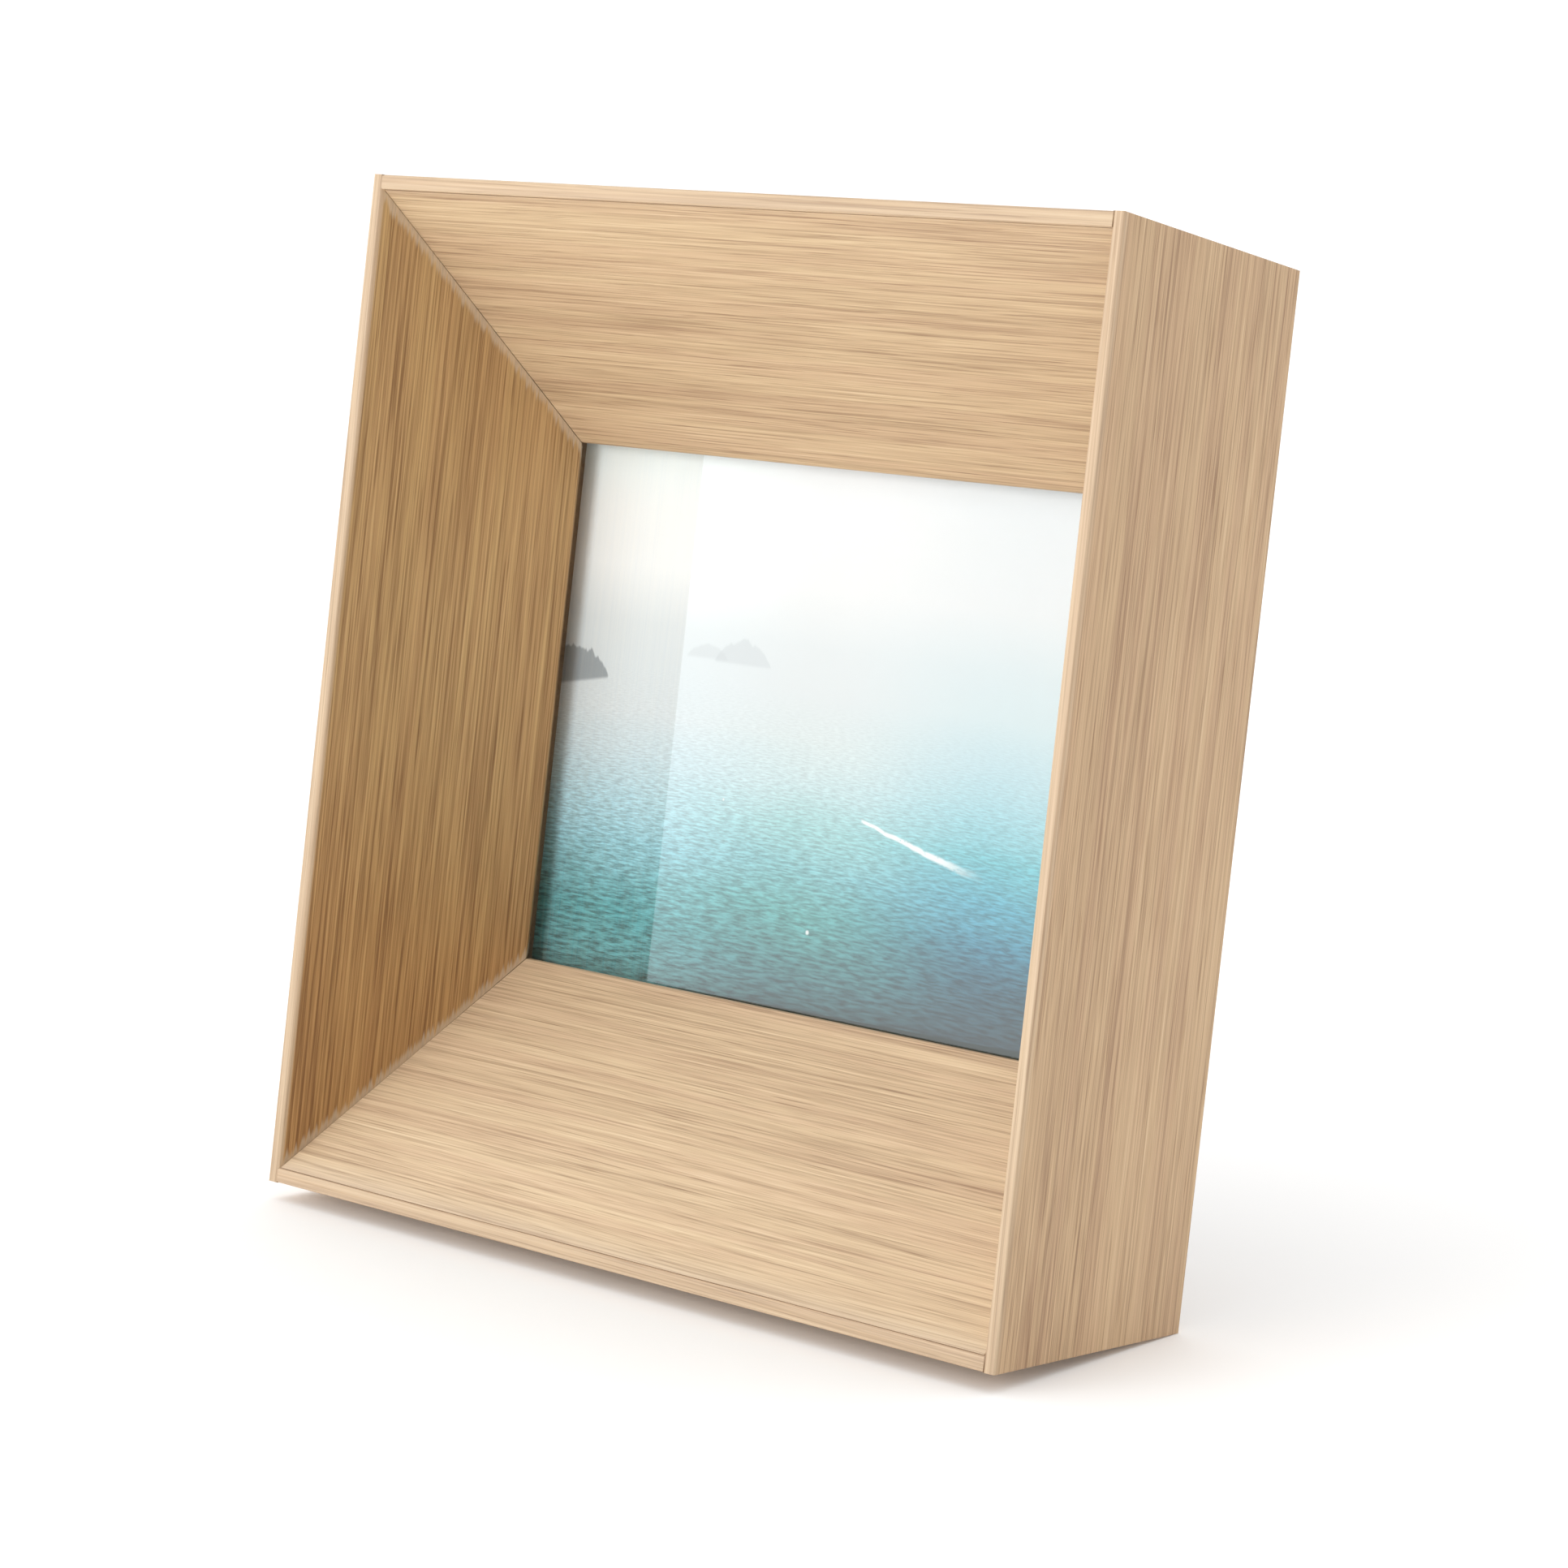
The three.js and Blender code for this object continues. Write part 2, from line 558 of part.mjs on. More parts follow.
/** The strut, hanging from the pin with its foot cut level with the ground. */
function strutPieces() {
  const swing = STRUT_OPEN - LEAN;
  const faceY = STRUT_THICK - STRUT_FRONT;
  const top = -KNUCKLE_RADIUS - 2 * GAP;
  const foot = (y) => -(axisHeight() + y * Math.sin(rad(swing))) / Math.cos(rad(swing));
  const board = hull([-STRUT_FRONT, faceY].flatMap((y) => [-1, 1].flatMap((side) => [
    [side * STRUT_TOP_WIDTH / 2, y, top],
    [side * STRUT_FOOT_WIDTH / 2, y, foot(y)],
  ])));
  const rear = faceY + GAP;
  const holes = rivetPlaces().map(([x, drop]) => (
    rod(RIVET_RADIUS + GAP, x, -drop, RIVET_END - GAP - STRUT_FRONT, faceY + OVERRUN)
  ));
  add('strut', cut(board, holes), BLACK_BOARD, strut);
  add('hinge_strut_leaf', strutLeaf(rear), STEEL, strut);
  rivetPlaces().forEach(([x, drop], index) => {
    const seat = rear + LEAF + GAP;
    const name = `strut_rivet_${Object.keys(SIDES)[index]}`;
    add(name, rivet(x, -drop, seat, seat + STRUT_FRONT - RIVET_END), STEEL, strut);
  });
}

// ---- assembly ----

const object = new THREE.Group();
const frame = new THREE.Group();
const strut = new THREE.Group();
object.add(frame);
frame.add(strut);
frame.rotation.x = -rad(LEAN);
strut.position.set(0, hingeY, HINGE_HEIGHT);
strut.rotation.x = rad(STRUT_OPEN);

/** Puts a piece in the frame, or in one of its groups. */
function add(name, geometry, look, group = frame) {
  const mesh = new THREE.Mesh(geometry, new THREE.MeshStandardMaterial(look));
  mesh.name = name;
  group.add(mesh);
}

outerBoards();
slopingBoards();
backRails();
cornerBlocks();
railScrews();
contents();
turnButtons();
sawtoothHanger();
wallBumpers();
boardLeaf();
strutPieces();

object.updateMatrixWorld(true);
const bounds = new THREE.Box3().setFromObject(frame, true);
const middle = bounds.getCenter(new THREE.Vector3());
frame.position.set(-middle.x, -middle.y, -bounds.min.z);

export default object;
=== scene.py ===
"""Looks of a deep wooden picture frame that stands on its back edge and a folding strut.

Metres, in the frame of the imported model: X to the right, Y from the front to the back and Z up. The
boards are oak veneer over fibreboard, the window holds a print behind glass, and the back carries turn
buttons, a sawtooth hanger, bumpers and a hinged strut. Most of it is worked out in the frame's own
space, which leans back with the frame: y is 0 at the front edges, and x = z = 0 is the middle of the
picture.
"""

from __future__ import annotations

import json
import logging
import math
from dataclasses import dataclass, field
from enum import Enum
from typing import Any, Callable, Iterable, Mapping, Sequence, Union

import bmesh
import bpy
import numpy as np
from mathutils import Matrix, Vector


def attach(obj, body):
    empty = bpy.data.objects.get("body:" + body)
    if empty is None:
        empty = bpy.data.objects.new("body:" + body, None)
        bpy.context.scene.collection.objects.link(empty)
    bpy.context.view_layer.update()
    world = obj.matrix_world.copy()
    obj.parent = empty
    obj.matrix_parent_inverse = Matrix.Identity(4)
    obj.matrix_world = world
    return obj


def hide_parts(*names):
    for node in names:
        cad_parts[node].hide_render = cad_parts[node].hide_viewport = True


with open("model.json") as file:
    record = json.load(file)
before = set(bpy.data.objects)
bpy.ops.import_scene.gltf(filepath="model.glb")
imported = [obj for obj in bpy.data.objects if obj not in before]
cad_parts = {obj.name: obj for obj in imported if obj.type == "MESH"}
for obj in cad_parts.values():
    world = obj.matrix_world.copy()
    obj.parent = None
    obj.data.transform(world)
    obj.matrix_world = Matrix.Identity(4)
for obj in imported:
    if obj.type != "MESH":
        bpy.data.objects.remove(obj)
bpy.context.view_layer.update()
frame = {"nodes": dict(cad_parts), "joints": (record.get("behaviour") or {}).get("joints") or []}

LOG = logging.getLogger("picture_frame")
MM = 0.001

Colour = tuple[float, float, float]
Point2 = tuple[float, float]

PLAIN: Colour = (1.0, 1.0, 1.0)
MEAN = 0.5  # what noise is on average


class Grain(Enum):
    """Which of the frame's own axes the wood's fibres follow."""

    LEVEL = "x"
    UPRIGHT = "z"


class Edge(Enum):
    """The four edges of the frame, as the pieces' names use them."""

    LEFT = "left"
    RIGHT = "right"
    TOP = "top"
    BOTTOM = "bottom"

    @property
    def upright(self) -> bool:
        """Whether the boards on this edge run up and not across."""
        return self in (Edge.LEFT, Edge.RIGHT)

    @property
    def grain(self) -> Grain:
        """The way that the boards on this edge run."""
        return Grain.UPRIGHT if self.upright else Grain.LEVEL


SIDES = [Edge.LEFT.value, Edge.RIGHT.value]
CORNERS = [f"{level.value}_{side}" for level in (Edge.BOTTOM, Edge.TOP) for side in SIDES]


# ---- where the frame stands ----


@dataclass(frozen=True)
class Stance:
    """A space of the object's own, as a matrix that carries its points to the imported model's frame."""

    matrix: Matrix

    @classmethod
    def of_frame(cls) -> Stance:
        """Finds how the frame leans from a turn button's axis, and its origin from the boards.

        Returns:
            The frame's own space.
        """
        axis = next(Vector(j["axis"]) for j in frame["joints"] if j["name"].startswith("turn_button"))
        turn = Matrix.Rotation(math.atan2(axis.z, axis.y), 4, "X")
        straight = cls(turn)
        front = straight.box("left_outer_board")[0].y
        low, high = straight.box("glass_pane")
        middle = Vector((0.0, front, (low.z + high.z) / 2))
        return cls(turn @ Matrix.Translation(middle))

    @classmethod
    def of_strut(cls, frame_stance: Stance) -> Stance:
        """The strut's space: the origin on the hinge pin, and z up along the strut.

        Args:
            frame_stance: the frame's own space.

        Returns:
            The strut's own space.
        """
        hinge = next(j for j in frame["joints"] if j["name"] == "strut_fold")
        lean = frame_stance.matrix.to_euler().x
        opened = math.radians(max(hinge["range_deg"]))
        return cls(Matrix.Translation(hinge["pos_m"]) @ Matrix.Rotation(lean + opened, 4, "X"))

    def points(self, node: str) -> np.ndarray:
        """The corners of a CAD node in this space.

        Args:
            node: the node's name.

        Returns:
            An array with one row for each corner.
        """
        corners = np.array([v.co for v in frame["nodes"][node].data.vertices], float)
        back = np.array(self.matrix.inverted())
        return corners @ back[:3, :3].T + back[:3, 3]

    def box(self, node: str) -> tuple[Vector, Vector]:
        """The lowest and highest corners of a CAD node in this space."""
        corners = self.points(node)
        return Vector(corners.min(0)), Vector(corners.max(0))


STANCE = Stance.of_frame()
STRUT_STANCE = Stance.of_strut(STANCE)


# ---- node trees ----


@dataclass(frozen=True)
class Term:
    """A socket in a shader tree, which sums and products can be written with."""

    graph: Graph
    socket: bpy.types.NodeSocket

    def _math(self, operation: str, *values: Operand) -> Term:
        """One Math node on these values."""
        made = self.graph.node("ShaderNodeMath", {"operation": operation}, dict(enumerate(values)))
        return Term(self.graph, made.outputs[0])

    def __add__(self, other: Operand) -> Term:
        """This plus the other."""
        return self._math("ADD", self, other)

    __radd__ = __add__

    def __sub__(self, other: Operand) -> Term:
        """This less the other."""
        return self._math("SUBTRACT", self, other)

    def __rsub__(self, other: Operand) -> Term:
        """The other less this."""
        return self._math("SUBTRACT", other, self)

    def __mul__(self, other: Operand) -> Term:
        """This times the other."""
        return self._math("MULTIPLY", self, other)

    __rmul__ = __mul__

    def __truediv__(self, other: Operand) -> Term:
        """This over the other."""
        return self._math("DIVIDE", self, other)

    def __rtruediv__(self, other: Operand) -> Term:
        """The other over this."""
        return self._math("DIVIDE", other, self)

    def __pow__(self, other: Operand) -> Term:
        """This to the power of the other."""
        return self._math("POWER", self, other)

    def __abs__(self) -> Term:
        """This without its sign."""
        return self._math("ABSOLUTE", self)

    def log(self) -> Term:
        """The natural logarithm of this."""
        return self._math("LOGARITHM", self, math.e)

    def at_least(self, other: Operand) -> Term:
        """The larger of this and the other."""
        return self._math("MAXIMUM", self, other)

    def at_most(self, other: Operand) -> Term:
        """The smaller of this and the other."""
        return self._math("MINIMUM", self, other)

    def swing(self, share: float) -> Term:
        """How far noise is from its mean, scaled so that its whole range is share."""
        return (self - MEAN) * share

    def step(self, start: float, end: float) -> Term:
        """Rises smoothly from 0 at start to 1 at end, or falls if end is the lower.

        Args:
            start: the value where the result is 0.
            end: the value where it is 1.

        Returns:
            The result, from 0 to 1.
        """
        low, high = min(start, end), max(start, end)
        made = self.graph.node(
            "ShaderNodeMapRange",
            {"interpolation_type": "SMOOTHSTEP"},
            {"Value": self, "From Min": low, "From Max": high, "To Min": 0.0, "To Max": 1.0},
        )
        rise = Term(self.graph, made.outputs[0])
        return rise if end > start else 1.0 - rise


Operand = Union[Term, float]


class Graph:
    """A node tree that is being built."""

    def __init__(self, tree: bpy.types.NodeTree) -> None:
        """Starts from an empty tree.

        Args:
            tree: the tree that the nodes go in.
        """
        self.tree = tree
        self.tree.nodes.clear()

    def node(
        self,
        kind: str,
        settings: Mapping[str, Any] | None = None,
        values: Mapping[Union[str, int], Any] | None = None,
    ) -> bpy.types.Node:
        """Adds a node of any kind.

        Args:
            kind: the node's type.
            settings: its own settings, which are set first. stops are a ramp's (place, colour) pairs.
            values: what goes in its sockets, by name or number: a Term, a socket or a plain value.

        Returns:
            The node.
        """
        made = self.tree.nodes.new(kind)
        for key, value in (settings or {}).items():
            if key == "stops":
                self._set_stops(made.color_ramp, value)
            else:
                setattr(made, key, value)
        for key, value in (values or {}).items():
            self.feed(made.inputs[key], value)
        return made

    def feed(self, socket: bpy.types.NodeSocket, value: Any) -> None:
        """Links or sets one input socket.

        Args:
            socket: the input.
            value: a Term, a socket or a plain value.
        """
        source = value.socket if isinstance(value, Term) else value
        if isinstance(source, bpy.types.NodeSocket):
            self.tree.links.new(source, socket)
        else:
            socket.default_value = source

    @staticmethod
    def _set_stops(ramp: bpy.types.ColorRamp, stops: Sequence[tuple[float, Colour]]) -> None:
        """Gives a ramp these stops and no others.

        Args:
            ramp: the ramp.
            stops: the place and the colour of each stop.
        """
        while len(ramp.elements) > 1:
            ramp.elements.remove(ramp.elements[-1])
        for index, (place, colour) in enumerate(stops):
            stop = ramp.elements[0] if index == 0 else ramp.elements.new(place)
            stop.position = place
            stop.color = (*colour, 1.0)

    def own_coordinates(self, stance: Stance) -> tuple[Term, Term, Term]:
        """The place on the piece in the object's own space.

        Args:
            stance: that space.

        Returns:
            x, y and z.
        """
        back = stance.matrix.inverted()
        mapping = self.node(
            "ShaderNodeMapping",
            {"vector_type": "POINT"},
            {
                "Vector": self.node("ShaderNodeTexCoord").outputs["Object"],
                "Location": tuple(back.to_translation()),
                "Rotation": tuple(back.to_euler()),
            },
        )
        parts = self.node("ShaderNodeSeparateXYZ", None, {0: mapping.outputs[0]})
        return tuple(Term(self, part) for part in parts.outputs)

    def point(self, x: Operand, y: Operand, z: Operand) -> Term:
        """A vector from three values."""
        return Term(self, self.node("ShaderNodeCombineXYZ", None, {0: x, 1: y, 2: z}).outputs[0])

    def noise(self, place: Term, scale: float = 1.0, detail: float = 2.0, rough: float = 0.5) -> Term:
        """Noise between 0 and 1, about 0.5 in the mean."""
        values = {"Vector": place, "Scale": scale, "Detail": detail, "Roughness": rough}
        return Term(self, self.node("ShaderNodeTexNoise", None, values).outputs[0])

    def ramp(self, value: Term, stops: Sequence[tuple[float, Colour]]) -> Term:
        """The colour that a value picks between stops."""
        return Term(self, self.node("ShaderNodeValToRGB", {"stops": stops}, {0: value}).outputs[0])

    def blend(self, mask: Operand, first: Any, second: Any) -> Term:
        """The first colour where mask is 0 and the second where it is 1.

        Args:
            mask: the share of the second colour.
            first: a Term, a socket or a plain colour.
            second: the same.

        Returns:
            The colour.
        """
        values = {0: mask, 6: as_colour(first), 7: as_colour(second)}
        made = self.node("ShaderNodeMix", {"data_type": "RGBA", "clamp_factor": True}, values)
        return Term(self, made.outputs[2])

    def tint(self, first: Term, second: Any) -> Term:
        """One colour times another.

        Args:
            first: the colour to change.
            second: a Term, a socket or a plain colour.

        Returns:
            The colour.
        """
        settings = {"data_type": "RGBA", "blend_type": "MULTIPLY"}
        made = self.node("ShaderNodeMix", settings, {0: 1.0, 6: first, 7: as_colour(second)})
        return Term(self, made.outputs[2])

    def dim(self, colour: Term, light: Term) -> Term:
        """A colour made darker or lighter by one factor."""
        return self.tint(colour, self.point(light, light, light))

    def bump(self, height: Term, strength: float, depth: float) -> Term:
        """A bumped normal.

        Args:
            height: the surface's height, from 0 to 1.
            strength: how much of the bump shows.
            depth: how deep it is, in metres.

        Returns:
            The normal, for a shader.
        """
        values = {"Height": height, "Strength": strength, "Distance": depth}
        return Term(self, self.node("ShaderNodeBump", None, values).outputs[0])

    def principled(self, values: Mapping[str, Any]) -> bpy.types.NodeSocket:
        """A Principled shader with these inputs, by name."""
        return self.node("ShaderNodeBsdfPrincipled", None, values).outputs[0]

    def surface(self, shader: bpy.types.NodeSocket) -> None:
        """Ends a material's tree in this shader."""
        self.node("ShaderNodeOutputMaterial", None, {"Surface": shader})


def as_colour(value: Any) -> Any:
    """A plain colour with its alpha, or the Term as it is."""
    return (*value, 1.0) if isinstance(value, tuple) else value


# ---- finishes ----


@dataclass(frozen=True)
class Finish:
    """What every finish shares: a name, and the space that its pattern lies in."""

    name: str
    slot: str
    stance: Stance = STANCE

    def paint(self, graph: Graph) -> bpy.types.NodeSocket:
        """Adds the finish's nodes and returns the shader to show."""
        raise NotImplementedError

    def material(self) -> bpy.types.Material:
        """The finish as a material, made once.

        Returns:
            The material.
        """
        known = bpy.data.materials.get(self.name)
        if known is not None:
            return known
        made = bpy.data.materials.new(self.name)
        made.use_nodes = True
        graph = Graph(made.node_tree)
        graph.surface(self.paint(graph))
        return made


@dataclass(frozen=True)
class Layer:
    """One layer of the wood's figure.

    Its marks have a length and a thickness in metres, and share says how much it tells in the tone.
    """

    length: float
    thickness: float
    share: float
    detail: float = 1.0
    rough: float = 0.5


@dataclass(frozen=True)
class Mitre:
    """The line where a sloping side board meets the ones above and below it."""

    near: Point2
    far: Point2

    def distance(self, depth: Term, z: Term) -> Term:
        """How far a point of the slope is from the end of its board.

        Args:
            depth: the point's depth behind the front edges, in metres.
            z: its height above the middle of the picture, in metres.

        Returns:
            The distance along z, in metres.
        """
        rise = (self.far[1] - self.near[1]) / (self.far[0] - self.near[0])
        return (depth - self.near[0]) * rise + self.near[1] - abs(z)


@dataclass(frozen=True)
class Oak(Finish):
    """Straight-grained oak veneer with a matt lacquer, with a painted highlight on its front edges and its
    mitres, and painted light and shade on the sloping boards from their tint and foot.
    """

    grain: Grain = Grain.LEVEL
    offset: float = 0.0
    # tint multiplies the whole board: the outer boards' own tone, and painted light and shade on the
    # sloping boards
    tint: Colour = PLAIN
    # how far behind the front edges the painted highlight reaches
    edge_highlight_depth: float = 1.5 * MM
    mitre: Mitre | None = None
    contrast: float = 0.88
    # foot: a painted shade that darkens the board towards its lower end
    foot: Colour = PLAIN

    TONES = (
        (0.22, (0.330, 0.205, 0.120)),
        (0.40, (0.465, 0.315, 0.190)),
        (0.52, (0.570, 0.400, 0.245)),
        (0.66, (0.650, 0.470, 0.290)),
        (0.85, (0.740, 0.560, 0.370)),
    )
    MIDDLE_TONE = 0.53
    BANDS = Layer(0.300, 0.0110, 0.38, 2.0)
    STREAKS = Layer(0.120, 0.0016, 0.20, 2.0, 0.6)
    LINES = Layer(0.060, 0.00042, 0.70)
    FIBRES = Layer(0.022, 0.00023, 0.60)
    PORES = Layer(0.0130, 0.00028, 0.12)
    ROSY_PATCHES = Layer(0.140, 0.0030, 0.40)
    PORE_EDGE = (0.58, 0.72)
    ROSY_EDGE = (0.42, 0.62)
    DRIFT_SCALE = (5.0, 14.0)  # along and across the grain
    DRIFT = 2.2 * MM  # how far the grain wanders
    RUN_OUT = 0.006  # how far it leans, as a slope

    ROSY = (0.92, 0.86, 0.88)
    # a painted highlight on the front edges, all over and more along the grain lines
    PAINTED_EDGE_HIGHLIGHT = (0.640, 0.530, 0.400)
    EDGE_HIGHLIGHT_SHARES = (0.10, 0.45)  # all over, and more along the lines
    FOOT_SHADE = (0.020, -0.055)  # heights where the foot's tint starts and is whole
    # a painted highlight along the rounded mitres, with ragged edges along the grain lines
    MITRE_HIGHLIGHT = (0.690, 0.570, 0.425)
    MITRE_EDGE = (2.2 * MM, 0.5 * MM)
    MITRE_RAGGED = 4.5 * MM
    MITRE_SHARE = 0.62

    RELIEF = (0.5, 0.5, 0.8)  # of fibres, lines and pores
    BUMP = (0.22, 0.12 * MM)
    ROUGHNESS = (0.50, 0.25, 0.15)  # even, from streaks and from pores
    SPECULAR = 0.35

    def paint(self, graph: Graph) -> bpy.types.NodeSocket:
        """Broad bands, streaks, fibres and pores, all drawn out along the grain, with painted light, shade
        and highlights over them.

        Args:
            graph: the material's nodes.

        Returns:
            The shader to show.
        """
        x, depth, z = graph.own_coordinates(self.stance)
        along, across = (x, z) if self.grain is Grain.LEVEL else (z, x)
        run, side = self.DRIFT_SCALE
        drift = graph.noise(graph.point(along * run, across * side, depth * side + self.offset), 1.0, 1.0)
        width = across + along * self.RUN_OUT + drift * self.DRIFT
        deep = depth + self.offset

        def drawn(layer: Layer) -> Term:
            """A layer's noise, drawn out along the grain."""
            place = graph.point(along / layer.length, width / layer.thickness, deep / layer.thickness)
            return graph.noise(place, 1.0, layer.detail, layer.rough)

        bands, streaks, lines, fibres = map(drawn, (self.BANDS, self.STREAKS, self.LINES, self.FIBRES))
        pores = drawn(self.PORES).step(*self.PORE_EDGE)
        rosy = drawn(self.ROSY_PATCHES).step(*self.ROSY_EDGE)
        figure = (bands.swing(self.BANDS.share) + streaks.swing(self.STREAKS.share)
                  + lines.swing(self.LINES.share) + fibres.swing(self.FIBRES.share))
        tone = self.MIDDLE_TONE + figure * self.contrast - pores * self.PORES.share
        wood = graph.ramp(tone, self.TONES)
        wood = graph.blend(rosy * self.ROSY_PATCHES.share, wood, graph.tint(wood, self.ROSY))
        # the tint, which is painted light and shade on the sloping boards
        wood = graph.tint(wood, self.tint)
        # painted shade, darker towards the board's lower end
        wood = graph.blend(z.step(*self.FOOT_SHADE), wood, graph.tint(wood, self.foot))
        # a painted highlight along the front edges, stronger on the grain lines
        even, lined = self.EDGE_HIGHLIGHT_SHARES
        wood = graph.blend(depth.step(self.edge_highlight_depth, 0.0) * (even + lines * lined), wood, self.PAINTED_EDGE_HIGHLIGHT)
        # a painted highlight along the mitres of the side boards
        if self.mitre is not None:
            ragged = self.mitre.distance(depth, z) + lines.swing(self.MITRE_RAGGED)
            wood = graph.blend(ragged.step(*self.MITRE_EDGE) * self.MITRE_SHARE, wood, self.MITRE_HIGHLIGHT)
        raised, drawn_in, sunk = self.RELIEF
        height = fibres * raised + lines * drawn_in - pores * sunk
        rough, streaked, open_pores = self.ROUGHNESS
        return graph.principled({
            "Base Color": wood,
            "Roughness": rough + streaks.swing(streaked) + pores * open_pores,
            "Specular IOR Level": self.SPECULAR,
            "Normal": graph.bump(height, *self.BUMP),
        })


@dataclass(frozen=True)
class Fibreboard(Finish):
    """Bare brown fibreboard with a faintly furry face."""

    TONES = ((0.2, (0.205, 0.125, 0.072)), (0.8, (0.400, 0.270, 0.165)))
    FLECK = (0.120, 0.070, 0.040)
    FLECK_SCALE = (1500.0, 1500.0, 700.0)
    FLECK_EDGE = (0.66, 0.74)
    FLECK_SHARE = 0.5
    CLOUD_SCALE, CLOUD_SHARE = 60.0, 0.5
    FELT_SCALE, FELT_SHARE = 900.0, 0.8
    ROUGHNESS = (0.80, 0.2)  # even, and from the felt
    SPECULAR = 0.25
    BUMP = (0.35, 0.1 * MM)

    def paint(self, graph: Graph) -> bpy.types.NodeSocket:
        """Short felted fibres with a few dark flecks.

        Args:
            graph: the material's nodes.

        Returns:
            The shader to show.
        """
        x, depth, z = graph.own_coordinates(self.stance)
        place = graph.point(x, depth, z)
        cloud = graph.noise(place, self.CLOUD_SCALE, 3.0)
        felt = graph.noise(place, self.FELT_SCALE, 4.0, 0.7)
        wide, deep, tall = self.FLECK_SCALE
        flecks = graph.noise(graph.point(x * wide, depth * deep, z * tall), 1.0, 1.0).step(*self.FLECK_EDGE)
        tone = MEAN + cloud.swing(self.CLOUD_SHARE) + felt.swing(self.FELT_SHARE)
        board = graph.blend(flecks * self.FLECK_SHARE, graph.ramp(tone, self.TONES), self.FLECK)
        rough, felted = self.ROUGHNESS
        return graph.principled({
            "Base Color": board,
            "Roughness": rough + felt.swing(felted),
            "Specular IOR Level": self.SPECULAR,
            "Normal": graph.bump(felt, *self.BUMP),
        })


@dataclass(frozen=True)
class BlackBoard(Finish):
    """Black fibreboard, faced with a paper that has a fine leathery print."""

    TONES = ((0.25, (0.013, 0.013, 0.014)), (0.8, (0.040, 0.039, 0.038)))
    PEBBLE_SCALE = 1100.0
    PEBBLE_EDGE = (0.0, 0.25)
    DUST_SCALE, DUST_SHARE = 240.0, 0.5
    CLOUD_SCALE, CLOUD_SHARE = 35.0, 0.6
    ROUGHNESS = (0.58, 0.35, 0.08)  # even, from dust and from the pebbles
    SPECULAR = 0.4
    BUMP = (0.5, 0.08 * MM)

    def paint(self, graph: Graph) -> bpy.types.NodeSocket:
        """Small pebbles in the facing, dust and faint clouds.

        Args:
            graph: the material's nodes.

        Returns:
            The shader to show.
        """
        x, depth, z = graph.own_coordinates(self.stance)
        place = graph.point(x, depth, z)
        pebbles = graph.node("ShaderNodeTexVoronoi", {"feature": "DISTANCE_TO_EDGE"},
                             {"Vector": place, "Scale": self.PEBBLE_SCALE})
        grain = Term(graph, pebbles.outputs[0]).step(*self.PEBBLE_EDGE)
        dust = graph.noise(place, self.DUST_SCALE, 4.0, 0.65)
        cloud = graph.noise(place, self.CLOUD_SCALE, 2.0)
        tone = MEAN + cloud.swing(self.CLOUD_SHARE) + dust.swing(self.DUST_SHARE)
        rough, dusty, pebbled = self.ROUGHNESS
        return graph.principled({
            "Base Color": graph.ramp(tone, self.TONES),
            "Roughness": rough + dust.swing(dusty) + grain * pebbled,
            "Specular IOR Level": self.SPECULAR,
            "Normal": graph.bump(grain, *self.BUMP),
        })


@dataclass(frozen=True)
class SheetMetal(Finish):
    """Plated sheet or turned metal, brushed along one axis."""

    dull: Colour = (0.42, 0.43, 0.44)
    bright: Colour = (0.66, 0.67, 0.68)

    TONE_RANGE = (0.25, 0.75)
    BRUSH_SCALE = (260.0, 6000.0, 6000.0)
    BRUSH_SHARE = 0.7
    HANDLED_SCALE, HANDLED_SHARE = 160.0, 0.6
    ROUGHNESS = (0.30, 0.30, 0.18)  # even, where handled and from the brush
    BUMP = (0.15, 0.03 * MM)

    def paint(self, graph: Graph) -> bpy.types.NodeSocket:
        """Fine brush lines, with cloudy patches where it has been handled.

        Args:
            graph: the material's nodes.

        Returns:
            The shader to show.
        """
        x, depth, z = graph.own_coordinates(self.stance)
        along, deep, across = self.BRUSH_SCALE
        brushed = graph.noise(graph.point(x * along, depth * deep, z * across), 1.0, 2.0)
        handled = graph.noise(graph.point(x, depth, z), self.HANDLED_SCALE, 3.0, 0.6)
        tone = MEAN + brushed.swing(self.BRUSH_SHARE) + handled.swing(self.HANDLED_SHARE)
        rough, worn, lined = self.ROUGHNESS
        return graph.principled({
            "Base Color": graph.ramp(tone, tuple(zip(self.TONE_RANGE, (self.dull, self.bright)))),
            "Metallic": 1.0,
            "Roughness": rough + handled.swing(worn) + brushed.swing(lined),
            "Normal": graph.bump(brushed, *self.BUMP),
        })


@dataclass(frozen=True)
class Rubber(Finish):
    """Soft dark rubber with a bloom on it."""

    TONES = ((0.3, (0.022, 0.022, 0.023)), (0.7, (0.055, 0.054, 0.053)))
    BLOOM_SCALE = 450.0
    MOULDED_SCALE = 3500.0
    ROUGHNESS = (0.68, 0.3)  # even, and from the bloom
    BUMP = (0.3, 0.04 * MM)

    def paint(self, graph: Graph) -> bpy.types.NodeSocket:
        """A mottled bloom and a fine moulded texture.

        Args:
            graph: the material's nodes.

        Returns:
            The shader to show.
        """
        x, depth, z = graph.own_coordinates(self.stance)
        place = graph.point(x, depth, z)
        bloom = graph.noise(place, self.BLOOM_SCALE, 3.0, 0.6)
        rough, bloomed = self.ROUGHNESS
        return graph.principled({
            "Base Color": graph.ramp(bloom, self.TONES),
            "Roughness": rough + bloom.swing(bloomed),
            "Normal": graph.bump(graph.noise(place, self.MOULDED_SCALE, 1.0), *self.BUMP),
        })


